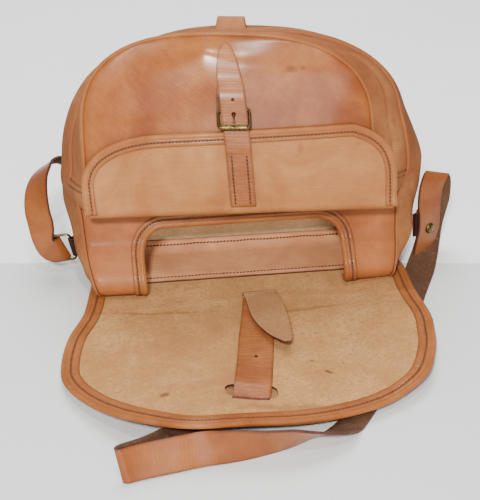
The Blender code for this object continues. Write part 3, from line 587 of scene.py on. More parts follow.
def tuck(distance):
    """A sewn edge dips towards its seam."""
    return -1.9 * math.exp(-max(distance, 0.0) / 2.4)


def new_piece(name, data, finish):
    """A new object made of this data, the only one selected."""
    bpy.ops.object.select_all(action='DESELECT')
    data.materials.append(finish)
    piece = bpy.data.objects.new(name, data)
    bpy.context.scene.collection.objects.link(piece)
    piece.select_set(True)
    bpy.context.view_layer.objects.active = piece
    return piece


def round_bar(name, points, radius, sizes, resolution, finish, closed=False):
    """A round bar through points, with its share of the radius at each."""
    data = bpy.data.curves.new(name, 'CURVE')
    data.dimensions = '3D'
    data.bevel_depth = radius * MM
    data.bevel_resolution = resolution
    data.use_fill_caps = not closed
    spline = data.splines.new('POLY')
    spline.points.add(len(points) - 1)
    for knot, point, size in zip(spline.points, points, sizes):
        knot.co = (*(point * MM), 1.0)
        knot.radius = size
    spline.use_cyclic_u = closed
    new_piece(name, data, finish)
    bpy.ops.object.convert(target='MESH')
    return bpy.context.object


CORD_RADIUS = 2.0


def covered_cord(name, points, replaced, finish=binding_tan, sunk=None):
    """A thin cord covered in hide, sewn into a seam; where it is sunk it is thinner."""
    sizes = [(1.0 + 0.07 * ripple(k, 0.0, 3.0, CORD_RADIUS)) * (1.0 - 0.45 * depth)
             for k, depth in enumerate(sunk or [0.0] * len(points))]
    piece = round_bar(name, points, CORD_RADIUS, sizes, 3, finish)
    bpy.ops.object.shade_smooth()
    note(piece, "edge", [9.0] * len(piece.data.vertices))
    dressed(piece, replaced)


back_flank = [(-6, 149), (20, 152), (60, 159), (95, 170)]
front_flank = [(-30, 146), (-18, 151), (-8, 154), (20, 160), (54, 162), (72, 165), (86, 170)]
back_outline = arched_outline(0, back_flank, pinched(dome(0, 174, 112, BACK_TOP, 2.3, 2.7), 6.0, 200.0, 32.0))
front_outline = arched_outline(0, front_flank,
                               pinched(dome(3, 171, 102, FRONT_TOP, 2.35, 2.8), 4.5, 152.0, 28.0))


def cutout_line(grow):
    half = 103.0 + grow
    return rounded_path(spots((-half, -30), (-half, 41 + grow), (half, 46 + grow), (half, -30)), 24.0, 14)


plan = fill_outline(inset(even(back_outline, 300), 1.4), 90, 70)
rows = [[back_skin(p.x, p.y, 0.35 * ripple(p.x, p.y, 45.0, 8.0)) for p in row] for row in plan]
cut_hide("back_panel_hide", plan, rows, HIDE, (panel_tan, inside_suede_painted_light), (0, 1, 0), "back_panel")

seam_line = inset(even(front_outline, 260), 1.2)
mouth_line = even(cutout_line(2.2), 260)
plan = [[a.lerp(b, k / 26) for k in range(27)] for a, b in zip(seam_line, mouth_line)]
rows = []
for a, row in zip(seam_line, plan):
    rows.append([front_skin(p.x, p.y, tuck((p - a).length) + 0.4 * ripple(p.x, p.y, 30.0, 2.0)
                            * ease(0, 12, (p - a).length)) for p in row])
cut_hide("front_panel_hide", plan, rows, HIDE, (panel_tan, inside_suede_painted_light), FORWARD, "front_panel")


def seam_outward(seam):
    centre = Vector((0.0, min(seam.y, 120.0)))
    side = (seam - centre).normalized()
    return (leaned(side.x * 10, 100 + side.y * 10, 40) - leaned(0, 100, 40)).normalized()


def gusset_rows(first, last, plan_line, bulge, count):
    """Strips across a gusset from one seam to the other, bulged and a little slack."""
    rows, plan = [], []
    run = lengths(plan_line)
    for k, (start, end, seam) in enumerate(zip(first, last, plan_line)):
        out = seam_outward(seam)
        width = (end - start).length
        row = []
        for i in range(count):
            q = i / (count - 1)
            away = min(q, 1 - q) * width
            row.append(start.lerp(end, q) + out * (bulge(seam, q) + tuck(away)))
        rows.append(row)
        plan.append([Vector((run[k], width * i / (count - 1))) for i in range(count)])
    return plan, rows


def body_bulge(seam, q):
    if seam.x > 0:
        slack = 0.8 + 8.0 * ease(FRONT_TOP, 160, seam.y)
        slack += 17.0 * ease(150, 70, seam.y) * ease(-12, 20, seam.y)
    else:
        slack = 0.8 + 9.0 * ease(FRONT_TOP, 175, seam.y)
        slack += 4.0 * ease(95, 55, seam.y) * ease(-5, 20, seam.y)
    pucker = 1.4 * math.sin(3 * math.pi * q) * math.sin(seam.y / 11.0) * ease(150, 60, seam.y)
    crease = q - 0.36 - 0.12 * ripple(seam.y, 0, 70.0, 8.0)
    pucker -= 2.2 * math.exp(-(crease / 0.06) ** 2) * ease(60, 110, seam.y)
    soft = 1.6 * ripple(q * 70, seam.y + seam.x, 34.0, 5.0)
    return slack * 4 * q * (1 - q) + (pucker + soft) * ease(0, 0.2, q) * ease(1, 0.8, q)


front_start = above(front_outline, -15.0)
back_start = above(back_outline, 22.0)
front_seam = even(front_outline, 220, front_start, 1 - front_start)
back_seam = even(back_outline, 220, back_start, 1 - back_start)
plan, rows = gusset_rows(laid(back_skin, back_seam), laid(front_skin, front_seam), front_seam, body_bulge, 44)
cut_hide("main_gusset_hide", plan, rows, 2.0, (gusset_tan, inside_suede_painted_light), UP, "main_gusset")
covered_cord("back_seam_cord", laid(back_skin, back_seam), "piping_back")
low = above(front_outline, -21.0)
cord_line = even(front_outline, 220, low, 1 - low)
covered_cord("front_seam_cord", laid(front_skin, cord_line), "piping_body_front", panel_tan,
             [ease(75.0, 50.0, p.y) for p in cord_line])


# The cutout's binding: a strip of thinner hide folded over the raw edge of the arch, with a firm
# round bead at the opening, sewn down in a groove and ending in a thin skived edge.

FOLD_LIFT = 1.8
BEAD_LIFT = 0.40


def fold_profile(width, bead, stitch_at):
    """Section of a folded binding: distance in from the edge, and height above the hide."""
    top = []
    count = int(width / 0.6)
    for k in range(count + 1):
        inward = bead + (width - bead) * k / count
        height = FOLD_LIFT + BEAD_LIFT * math.exp(-((inward - bead) / 1.3) ** 2)
        height -= 0.40 * math.exp(-((inward - bead - 2.2) / 0.8) ** 2)
        height -= 0.55 * math.exp(-((inward - stitch_at) / 1.1) ** 2) + 0.5 * ease(width - 1.5, width, inward)
        top.append((inward, height))
    top.reverse()
    nose = [(bead - bead * math.cos(math.radians(a)), (FOLD_LIFT + BEAD_LIFT) * math.sin(math.radians(a)))
            for a in (75, 55, 35, 15, -15, -35, -55, -75)]
    return top + nose + [(bead, -FOLD_LIFT - 0.3), (width * 0.5, -FOLD_LIFT), (width, -FOLD_LIFT)]


def folded_binding(name, skin, line, width, bead, stitch_at, replaced, towards, crinkle=0.25,
                   finish=binding_tan):
    """A strip folded round an edge; the line is its outermost edge, clockwise round the sheet."""
    profile = fold_profile(width, bead, stitch_at)
    run = lengths(line)
    lines = [inset(line, inward) for inward, off in profile]
    shell = [0.0]
    for (a, b), (c, d) in zip(profile, profile[1:]):
        shell.append(shell[-1] + math.hypot(c - a, d - b))
    # Painted shade along the stitch groove, with its dark stitch holes.
    marks = [math.exp(-((inward - stitch_at) / 1.1) ** 2) if off > 0 else 0.0 for inward, off in profile]
    rows, plan = [], []
    for k in range(len(line)):
        row = []
        for points, (inward, off) in zip(lines, profile):
            crease = crinkle * ripple(run[k], inward, 5.0, 1.3) * ease(0.0, 5.0, inward)
            row.append(skin(points[k].x, points[k].y, off + (crease if off > 0 else 0.0)))
        rows.append(row)
        plan.append([Vector((run[k], s)) for s in shell])
    return cut_hide(name, plan, rows, 1.25, (finish, finish), towards, replaced, 0.3,
                    [marks] * len(rows))


def stitches(name, path, ups, pitch=3.6, size=(1.8, 0.9, 0.6), slant=24.0, finish=thread):
    """A row of saddle stitches along a path: one is modelled, the rest are copies of it."""
    bpy.ops.object.select_all(action='DESELECT')
    bpy.ops.mesh.primitive_uv_sphere_add(segments=8, ring_count=6, radius=1.0, location=(0, 0, 0),
                                         rotation=(0, math.pi / 2, 0))
    one = bpy.context.object
    bpy.ops.object.transform_apply(location=False, rotation=True, scale=False)
    shape = [v.co.copy() for v in one.data.vertices]
    faces = [tuple(f.vertices) for f in one.data.polygons]
    bpy.data.objects.remove(one)
    total = lengths(path)
    count = int(total[-1] / pitch)
    points, quads = [], []
    for n in range(count):
        at = (n + 0.5) * total[-1] / count
        k = max(i for i in range(len(total) - 1) if total[i] <= at)
        share = (at - total[k]) / (total[k + 1] - total[k])
        middle = path[k].lerp(path[k + 1], share)
        run = (path[k + 1] - path[k]).normalized()
        up = ups[k].lerp(ups[k + 1], share).normalized()
        side = up.cross(run).normalized()
        lean = math.radians(slant * (1 + 0.5 * ripple(n, 0, 1.7, 4.0)))
        fore = run * math.cos(lean) + side * math.sin(lean)
        aside = up.cross(fore)
        middle = middle + side * 0.35 * ripple(n, 0, 4.0, 2.0)
        base = len(points)
        for co in shape:
            dip = -0.55 * co.x ** 2
            points.append((middle + fore * co.x * size[0] + aside * co.y * size[1]
                           + up * (co.z * size[2] + dip * size[2])) * MM)
        quads += [tuple(base + v for v in face) for face in faces]
    data = bpy.data.meshes.new(name)
    data.from_pydata(points, [], quads)
    piece = new_piece(name, data, finish)
    bpy.ops.object.shade_smooth()
    return dressed(piece)


def sewn_line(name, skin, line, off, **how):
    """Stitches along a plan line on a skin, at a height above it."""
    path = laid(skin, line, off)
    ups = [higher - point for higher, point in zip(laid(skin, line, off + 1.0), path)]
    return stitches(name, path, ups, **how)


arch = list(reversed(even(cutout_line(-1.2), 340)))
folded_binding("cutout_edge", front_skin, arch, 13.0, 3.0, 8.2, "cutout_binding", FORWARD)
sewn_line("cutout_stitches", front_skin, inset(arch, 8.2)[6:-6], 1.95)


# The front pocket: a domed front of glossy hide with fine slanting growth wrinkles, a narrow gusset
# hemmed at its mouth, and a covered cord in the seam between them.

POCKET_DEPTH = 40.0
POCKET_MIDDLE = -9.5
POCKET_HALF = 142.0
POCKET_BULGE = 13.0
FULLEST = 150.0


def pocket_bulge(u, v):
    """The pocket is fullest in its middle, with a broad crest near the top that falls to the left."""
    across = max(0.0, 1 - ((u - POCKET_MIDDLE) / POCKET_HALF) ** 2)
    if v < FULLEST:
        return POCKET_BULGE * across * max(0.0, 1 - ((v - FULLEST) / 84.0) ** 2)
    left, right = max(0.0, -30.0 - u), max(0.0, u - 8.0)
    crest = 203.0 + 10.0 * ease(8.0, -30.0, u) - 0.55 * left - 0.1 * right
    start = max(crest - 23.0, 152.0)
    t = max(0.0, v - start) / (240.0 - 0.5 * left - 0.12 * right - start)
    fall = 1.0 - t * t if t < 0.8 else 0.36 * math.exp((0.8 - t) * 4.44)
    return across * (POCKET_BULGE + ease(FULLEST, start, v)) * (0.5 * fall + 0.5 * ease(240.0, crest, v))


def pocket_skin(u, v, off=0.0):
    return leaned(u, v, DEPTH + POCKET_DEPTH + pocket_bulge(u, v) + off)


pocket_tan = grain_side("pocket_tan", (166, 102, 51), (134, 70, 33), (84, 36, 16),
                        0.42, 38.0, 0.36, 0.00020, -0.06, 1.25, 0.12)
marked(pocket_tan, [((42, 72, 235), (6, 14, 4), 0, (88, 42, 22), 0.5),
                    ((53, 71, 237), (4, 14, 3), 0, (88, 42, 22), 0.5),
                    ((-8, 69, 204), (40, 20, 22), 0, (118, 60, 32), 0.35),
                    ((80, 60, 195), (34, 20, 12), 0, (110, 54, 30), 0.35)])
pocket_flank = [(66, 142), (90, 142), (115, 142)]
pocket_outline = arched_outline(POCKET_MIDDLE, pocket_flank,
                                dome(POCKET_MIDDLE, POCKET_HALF, 138, 234, 2.7, 2.7))

plan = fill_outline(inset(even(pocket_outline, 300), 1.2), 130, 90)
rows = []
for row, near in zip(plan, edge_distance([laid(pocket_skin, row) for row in plan])):
    dips = [tuck(d if p.y > 80 else 20) + 0.8 * ripple(p.x, p.y, 42.0, 6.0) * ease(0, 15, d)
            for p, d in zip(row, near)]
    rows.append([pocket_skin(p.x, p.y, dip) for p, dip in zip(row, dips)])
cut_hide("pocket_front_hide", plan, rows, HIDE, (pocket_tan, inside_suede_painted_light), FORWARD, "pocket_front")

start = above(front_outline, 72.0)
wide = even(front_outline, 200, start, 1 - start)
narrow = even(pocket_outline, 200)


def pocket_gusset_bulge(seam, q):
    soft = 1.1 * ripple(q * 40, seam.y + seam.x, 26.0, 9.0)
    crease = q - 0.45 - 0.1 * ripple(seam.y, 0, 60.0, 3.0)
    fold = -1.8 * math.exp(-(crease / 0.07) ** 2) * ease(80, 110, seam.y)
    return ((10.0 * ease(232, 190, seam.y) - 1.5) * q * (1 - q)
            + (soft + fold) * ease(0, 0.2, q) * ease(1, 0.8, q))


plan, rows = gusset_rows(laid(front_skin, wide), laid(pocket_skin, narrow), wide, pocket_gusset_bulge, 26)
cut_hide("pocket_gusset_hide", plan, rows, 1.8, (gusset_tan, inside_suede_painted_light), UP, "pocket_gusset")
for side, hem, rank in (("left", slice(0, 9), 6), ("right", slice(-9, None), -7)):
    out = seam_outward(wide[rank])
    lift = [1.2 + 0.55 * ease(0, 1.5, min(k, 8 - k)) for k in range(9)]
    folded = [[p + out * rise for p in row] for row, rise in zip(rows[hem], lift)]
    cut_hide("pocket_hem_" + side, plan[hem], folded, 1.4, (gusset_tan, gusset_tan), UP)
    path = folded[rank if rank > 0 else rank + 9][2:-2]
    stitches("pocket_hem_stitches_" + side, [p + out * 0.9 for p in path], [out] * len(path))
covered_cord("pocket_seam_cord", laid(pocket_skin, even(pocket_outline, 220)), "piping_pocket")


# The main flap, laid forward with its flesh side up and propped on the strap: one sheet of 2.2 mm
# hide that goes on from the back panel, bound round its free edge with a wide strip sewn along its
# middle. A slot near its front lets the closure strap through. A strip of hide covers the hinge
# inside; its pale tan is painted light, where the arch shades it.

SLOT = (-21.0, -192.0)


def flap_skin(u, y, off=0.0):
    """The laid flap: it rises towards its front, most to the left, and sags softly in between."""
    prop = 9.0 + 22.0 * math.exp(-((u + 75.0) / 80.0) ** 2)
    run = min(max((-30.0 - y) / 215.0, 0.0), 1.2)
    over_strap = 3.6 * ease(100.0, 148.0, u) * ease(30.0, 6.0, y)
    sag = (0.7 + 0.7 * ripple(u, y, 55.0, 3.1)) * ease(10.0, -60.0, y)
    sag += 0.5 * math.exp(-((y + 20.0 + 16.0 * (u / 150.0) ** 2) / 5.0) ** 2)
    return Vector((u, y, 1.1 + edge_raise(u) + over_strap + prop * run ** 1.25 + sag + off)) - SHIFT


flap_suede = flesh_side("flap_suede", (200, 154, 100), (162, 114, 69))
marked(flap_suede, [((-103.5, -141, 23), (7, 5, 30), 20, (108, 68, 42), 0.8),
                    ((53, -108, 8), (9, 2.6, 30), -38, (92, 64, 48), 0.75),
                    ((38, -88, 8), (4, 3, 30), 0, (120, 84, 58), 0.6),
                    ((-106, 16, 3), (62, 3.0, 30), -4, (150, 96, 58), 0.7),
                    ((40, 3, 4), (75, 3.0, 30), 6, (150, 96, 58), 0.7),
                    ((-60, -128, 12), (50, 14, 30), 8, (158, 110, 70), 0.5),
                    ((0, -165, 12), (60, 7, 30), 4, (140, 92, 56), 0.55),
                    ((-120, -50, 12), (30, 22, 30), 30, (158, 110, 72), 0.5),
                    ((100, -60, 12), (34, 16, 30), -20, (164, 116, 76), 0.45)])
flap_edge = [(163, 56), (169, 30), (170, 0), (170, -38), (174, -80), (171, -108), (163, -143), (143, -184),
             (105, -212), (58, -229), (-5, -243), (-75, -255), (-127, -227), (-165, -190), (-188, -151),
             (-191, -117), (-184, -74), (-169, -34), (-161, 8), (-157, 35), (-152, 56)]
flap_outline = curve_through(spots(*flap_edge), 12)
plan = fill_outline(inset(flap_outline, 2.6), 130, 110)
rows = [laid(flap_skin, row) for row in plan]
main_flap = cut_hide("main_flap_hide", plan, rows, HIDE, (flap_suede, panel_tan), UP,
                     "main_flap")


def bore(piece, cutter):
    """Cuts a shape out of a piece and throws the cutter away."""
    bpy.ops.object.select_all(action='DESELECT')
    piece.select_set(True)
    bpy.context.view_layer.objects.active = piece
    cut = piece.modifiers.new("Cut", 'BOOLEAN')
    cut.operation = 'DIFFERENCE'
    cut.solver = 'EXACT'
    cut.object = cutter
    bpy.ops.object.modifier_apply(modifier="Cut")
    bpy.data.objects.remove(cutter)


bpy.ops.object.select_all(action='DESELECT')
bpy.ops.mesh.primitive_cube_add(size=1.0, location=flap_skin(*SLOT) * MM, scale=(0.048, 0.022, 0.04))
slot_cutter = bpy.context.object
bpy.ops.object.transform_apply(location=False, rotation=False, scale=True)
bpy.ops.object.mode_set(mode='EDIT')
bpy.ops.mesh.select_all(action='SELECT')
bpy.ops.mesh.bevel(offset=0.009, segments=6)
bpy.ops.object.mode_set(mode='OBJECT')
slot_cutter.data.materials.append(cut_edge)
bore(main_flap, slot_cutter)

bound = [p for p in even(flap_outline, 520) if p.y < 34]
folded_binding("flap_edge_binding", flap_skin, bound, 17.0, 2.3, 9.0, "flap_binding", UP, 0.3)
sewn_line("flap_edge_stitches", flap_skin, inset(bound, 9.0)[4:-4], 1.95)

# The hinge strip's pale tan, lighter than the panels, is painted light where the arch shades it.
strip_tan_painted_light = grain_side("strip_tan_painted_light", (230, 168, 122), (204, 138, 95), (124, 66, 40), 0.35, 24.0, 0.08)
STRIP_HALF, STRIP_START, STRIP_LENGTH = 117.0, -49.0, 73.0
plan = [[Vector((STRIP_HALF * (j / 60 - 1), STRIP_START + STRIP_LENGTH * k / 59)) for j in range(121)]
        for k in range(60)]
rows = [[back_skin(p.x, p.y, -2.7 - 0.4 * ripple(p.x, p.y, 18.0, 7.0)) for p in row] for row in plan]
cut_hide("hinge_strip_hide", plan, rows, HIDE, (strip_tan_painted_light, inside_suede_painted_light), (0, -1, 1), "hinge_strip")
for name, s in (("front", -43.0), ("back", 17.0)):
    sewn_line("hinge_stitches_" + name, lambda u, y, off: back_skin(u, y, -off),
              [Vector((-113 + 226 * k / 160, s + 0.9 * ripple(k, 0, 14.0, s))) for k in range(161)], 4.05)


# The pocket flap, sewn inside the pocket, comes round its mouth and up over its front. Smooth pale
# hide, bound round its free edge with browner hide.

section = rounded_path(spots((86.55, 77), (86.55, 60), (130.0, 60), (130.0, 175)), 7.0, 12)
section_total = lengths(section)
FRONT_START = section_total[-1] - 115.0


def pocket_flap_skin(u, t, off=0.0):
    """The pocket flap: inside the pocket, round its mouth, then up on the bulging front."""
    point, ahead = along(section, section_total, [t, t + 0.5])
    step = (ahead - point).normalized()
    on_front = ease(FRONT_START, FRONT_START + 16.0, t)
    droop = 4.0 * max(0.0, (u - 125.0) / 30.0) ** 2
    wave = 0.7 * ripple(u, t, 48.0, 12.0) * on_front
    point = point + Vector((step.y, -step.x)) * off
    return leaned(u, point.y, point.x + on_front * (pocket_bulge(u, point.y) - droop + wave))


def on_flap(v):
    return FRONT_START + v - 60.0


left = dome(-60, 94.5, on_flap(88), on_flap(139.5), 2.3, 2.3)[:12]
right = dome(88, 67, on_flap(92), on_flap(149), 2.5, 2.5)[14:]
brim = [left[-1].lerp(right[0], k / 6) for k in range(1, 6)]
root = spots((-144, 0), (-150, 18), (-153, 45))
far_root = spots((153, 45), (149, 18), (143, 0))
pocket_flap_outline = curve_through(root + left + brim + right + far_root, 6)
pocket_flap_tan = grain_side("pocket_flap_tan", (180, 127, 77), (158, 101, 57), (112, 60, 32),
                             0.4, 0.0, 0.05, 0.00016, 0.04, 1.6)
brim_tan = grain_side("brim_tan", (174, 116, 66), (150, 90, 48), (88, 40, 20), 0.3, 0.0, 0.12)
marked(pocket_flap_tan, [((47, 43, 164), (3, 9, 6), 0, (140, 76, 44), 0.6),
                         ((105, 37, 166), (4, 9, 3), 0, (132, 70, 40), 0.6)])
plan = fill_outline(inset(even(pocket_flap_outline, 400), 2.6), 120, 100)
rows = [laid(pocket_flap_skin, row) for row in plan]
cut_hide("pocket_flap_hide", plan, rows, HIDE, (pocket_flap_tan, inside_suede_painted_light), FORWARD, "pocket_flap")
bound = [p for p in even(pocket_flap_outline, 480) if p.y > FRONT_START + 2.0]
folded_binding("pocket_flap_edge", pocket_flap_skin, bound, 11.5, 2.2, 7.0, "pocket_flap_binding",
               FORWARD, 0.2, brim_tan)
sewn_line("pocket_flap_stitches", pocket_flap_skin, inset(bound, 7.0)[3:-3], 1.95)


# The pocket strap and its buckle: strap leather sewn to the flap in a box of stitches, passed under
# the roller, its holed tip lying on the pocket. The buckle is aged brass, held by a leather loop.

strap_tan = grain_side("strap_tan", (174, 113, 66), (148, 86, 47), (84, 36, 16), 0.8, 0.0, 0.16,
                       0.00030, -0.04, 1.1, 0.14)
# The straps' flesh side, darker than the curled tip's: painted shade, as it lies in shadow.
strap_flesh_painted_shade = flesh_side("strap_flesh_painted_shade", (102, 72, 52), (74, 50, 38), 1.3)
brass = plain_finish("aged_brass", (128, 108, 62), (58, 46, 28), 0.36, 420.0, 1.0)


def band(name, edges, thickness, faces, towards, replaced, across=13, rounding=0.5):
    """A strap through rows given as (left edge, right edge) points."""
    rows, plan = [], []
    shares = [i / (across - 1) for i in range(across)]
    run = lengths([(start + end) / 2 for start, end in edges])
    for (start, end), s in zip(edges, run):
        width = (end - start).length
        rows.append([start.lerp(end, share) for share in shares])
        plan.append([Vector((width * (share - 0.5), s)) for share in shares])
    return cut_hide(name, plan, rows, thickness, faces, towards, replaced, rounding)


# Down the pocket: height, middle, rise over the pocket and half the width.
strap_table = [
    (68, 1.5, 9.2, 12.5), (84, 1.2, 9.1, 12.5), (102, 0.8, 9.1, 12.5), (118, 0.4, 9.5, 12.5),
    (126, 0.1, 10.7, 12.5), (133, -0.2, 10.9, 12.5), (141, -0.8, 10.8, 12.5), (148, -1.5, 10.2, 12.5),
    (156, -2.0, 9.8, 12.5), (163, -2.4, 9.8, 12.5), (172, -3.0, 9.6, 12.5), (180, -3.8, 8.2, 12.5),
    (187, -4.6, 5.8, 12.3), (195, -5.7, 4.1, 11.8), (206, -7.0, 3.7, 10.4), (215, -7.9, 3.7, 8.2),
    (222, -8.6, 3.6, 5.0), (226, -9.0, 3.4, 2.0)]
places = curve_through([Vector(row[:3]) for row in strap_table], 8)
halves = curve_through([Vector((row[3], 0, 0)) for row in strap_table], 8)
edges = [(pocket_skin(middle - half.x, v, rise), pocket_skin(middle + half.x, v, rise))
         for (v, middle, rise), half in zip(places, halves)]
pocket_strap = band("pocket_strap_hide", edges, 2.6, (strap_tan, strap_flesh_painted_shade), FORWARD, "pocket_strap")


def punched_hole(piece, at, axis, radius):
    bpy.ops.object.select_all(action='DESELECT')
    bpy.ops.mesh.primitive_cylinder_add(vertices=20, radius=radius * MM, depth=0.012, location=at * MM)
    pin = bpy.context.object
    pin.rotation_mode = 'QUATERNION'
    pin.rotation_quaternion = Vector(axis).to_track_quat('Z', 'Y')
    pin.data.materials.append(cut_edge)
    bpy.context.view_layer.update()
    bore(piece, pin)


pocket_out = (pocket_skin(0, 163, 10) - pocket_skin(0, 163, 0)).normalized()
punched_hole(pocket_strap, pocket_skin(-2.5, 159.5, 9.4), pocket_out, 2.2)
punched_hole(pocket_strap, pocket_skin(-2.8, 173.5, 9.0), pocket_out, 1.6)

box_line = spots((-6.0, 70), (-6.9, 122), (7.6, 122), (8.6, 70))
box_path = []
for a, b in zip(box_line, box_line[1:]):
    box_path += [a.lerp(b, k / 30) for k in range(30)]
sewn_line("pocket_strap_stitches", pocket_skin, box_path + [box_line[-1]], 10.75, slant=9.0)


def brass_wire(name, points, radius, replaced, closed=False, taper=None):
    piece = round_bar(name, points, radius, taper or [1.0] * len(points), 4, brass, closed)
    bpy.ops.object.shade_smooth_by_angle(angle=math.radians(50))
    dressed(piece, replaced)


BUCKLE_MIDDLE = -2.5
buckle_plan = rounded_path(spots((0, 163), (-15.2, 163), (-15.2, 147), (15.2, 147), (15.2, 163), (0, 163)),
                           2.6, 6)[:-1]
buckle_line = [pocket_skin(BUCKLE_MIDDLE + p.x, p.y, 4.6 + 9.8 * (163 - p.y) / 16) for p in buckle_plan]
brass_wire("buckle_frame_brass", buckle_line, 1.5, "buckle_frame", closed=True)
start, end = pocket_skin(-15.5, 147, 14.4), pocket_skin(10.5, 147, 14.4)
roller_line = [start.lerp(end, t) for t in (0, 0.015, 0.03, 0.06, 0.5, 0.94, 0.97, 0.985, 1.0)]
brass_wire("buckle_roller_brass", roller_line, 2.7, "buckle_roller",
           taper=[0.8, 0.93, 1, 1, 1, 1, 1, 0.93, 0.8])
prong_line = curve_through([pocket_skin(BUCKLE_MIDDLE, v, r) for v, r in
                            ((160.2, 8.7), (159.0, 12.6), (155.0, 16.6), (148.0, 18.2), (144.8, 17.9))], 6)
brass_wire("buckle_prong_brass", prong_line, 1.0, "buckle_prong",
           taper=[1.15 - 0.45 * k / 24 for k in range(25)])

loop_turn = [math.pi * k / 12 for k in range(1, 12)]
loop_rows = [(183, 2.25), (172, 2.25), (163, 2.25),
             *[(163 - 2.35 * math.sin(a), 4.6 - 2.35 * math.cos(a)) for a in loop_turn],
             (163, 6.95), (170, 6.75), (176, 5.35)]
edges = [(pocket_skin(-18.6, v, r), pocket_skin(6.1, v, r)) for v, r in loop_rows]
band("buckle_loop_hide", edges, 1.5, (strap_tan, strap_flesh_painted_shade), (0, 1, 0), "buckle_chape", 9, 0.3)


# The closure strap: sewn under the flap, up through the slot and back over the suede, its tip curled
# over so that its flesh side shows. Under the slot a worn patch of hide shows at both ends of the
# strap, and loose fibres stand along the slot's front edge.

tip_flesh = flesh_side("tip_flesh", (170, 127, 87), (136, 94, 60), 1.6)
# Middle on the flap and rise over it, direction across, and half the width.
closure_table = [
    (-26, -219, -2.8, 34, -4, 17), (-24, -208, -3.1, 34, -4, 17), (-22, -199, -2.4, 34, -4, 17),
    (-20, -190, 0.4, 34, -4, 17), (-18, -181, 2.9, 34, -4, 17), (-15, -165, 3.4, 34, -5, 17),
    (-9.5, -135, 3.4, 34, -5, 17), (-3.5, -100, 3.8, 34, -6, 17), (2.5, -70, 5.0, 34, -6, 17),
    (6.5, -51, 8.0, 34, -4, 17), (8, -40, 11.4, 34, -2, 17)]
# The part that is curled over: middle in the scene, and half the width.
curl_table = [(10, -47, 20.4, 17), (11.5, -62, 19.6, 17.5), (12.8, -77, 19.3, 17.3), (14.5, -91, 19.5, 15.6),
              (16.5, -103, 20.2, 13), (18.5, -113, 21.2, 10.2), (21, -121, 22, 6.8), (22.8, -127, 22.6, 3.2)]
CURL_RADIUS = 4.2
ends = []
for u, y, rise, across, forward, half in closure_table:
    side = Vector((across, forward)).normalized() * half
    ends.append((flap_skin(u - side.x, y - side.y, rise), flap_skin(u + side.x, y + side.y, rise)))
turn_centre, side = flap_skin(8.5, -39.5, 15.4), Vector((17, 0.5, 0))
for k in range(1, 5):
    angle = math.radians(-60 + 45 * k)
    middle = turn_centre + Vector((0, math.cos(angle), math.sin(angle))) * CURL_RADIUS
    ends.append((middle - side, middle + side))
for u, y, z, half in curl_table:
    middle, side = Vector((u, y, z)) - SHIFT, Vector((34, -1, 2)).normalized() * half
    ends.append((middle - side, middle + side))
edges = list(zip(*[curve_through(list(line), 8) for line in zip(*ends)]))
closure = band("closure_strap_hide", edges, 2.2, (strap_tan, tip_flesh), UP, "closure_strap")
punched_hole(closure, flap_skin(-9, -136, 3.4), UP, 1.8)

PATCH_AT = -190.0
patch_line = dome(SLOT[0], 29.0, PATCH_AT, -174.0, 2.6, 2.6, 30)
plan = [[p.lerp(Vector((p.x, 2 * PATCH_AT - p.y)), k / 12) for p in patch_line] for k in range(13)]
rows = [[flap_skin(p.x, p.y, -1.9 - 1.2 * ease(24.0, 16.0, abs(p.x - SLOT[0]))) for p in row] for row in plan]
cut_hide("slot_patch", plan, rows, 1.2, (tip_flesh, strap_tan), UP)

frayed = plain_finish("frayed_edge", (112, 52, 40), (70, 30, 24), 0.9, 600.0)
fray_line = [Vector((-40.0 + 34.0 * k / 40, -204.6 - 1.2 * math.sin(math.pi * k / 40))) for k in range(41)]
sewn_line("slot_fray", flap_skin, fray_line, 1.5, pitch=1.5, size=(2.2, 0.8, 0.9), slant=52.0,
          finish=frayed)


# The loop on the bag's bottom, a short strap end sewn flat at both ends.

loop_section = rounded_path(spots((77, 236.6), (73.5, 248.0), (48, 248.0), (42, 237.0)), 3.5, 6)
edges = []
for p in even(loop_section, 40):
    half = 15.8 - 1.4 * ease(238, 244, p.y) - 0.8 * ease(244, 248, p.y)
    edges.append((leaned(-6.0 - half, p.y, p.x), leaned(-6.0 + half, p.y, p.x)))
band("bottom_loop_hide", edges, 2.6, (pocket_flap_tan, strap_flesh_painted_shade), UP, "bottom_loop")


# The side rings and tabs: brass rings, each held in a folded tab of dark, worn leather.

tab_dark = grain_side("tab_dark", (66, 42, 30), (42, 26, 18), (20, 12, 8), 0.8, 0.0, 0.05)
RIVET_AT = Vector((203.0, 41.5, 34.0))
FACING = Vector((0.515, -0.857, 0.0))
ACROSS = Vector((0.857, 0.515, 0.0))


def left_place(out, up, behind):
    return (Vector((-175.5, 51.0, 35.3)) + Vector((-0.983, 0.101, -0.152)) * out
            + Vector((-0.170, -0.200, 0.965)) * up + Vector((0.067, 0.974, 0.214)) * behind - SHIFT)


def right_place(out, up, behind):
    return (RIVET_AT + ACROSS * (out - 13.0) - FACING * (5.6 + 0.1 * up + behind)
            + Vector((0, 0, up + 5.0)) - SHIFT)


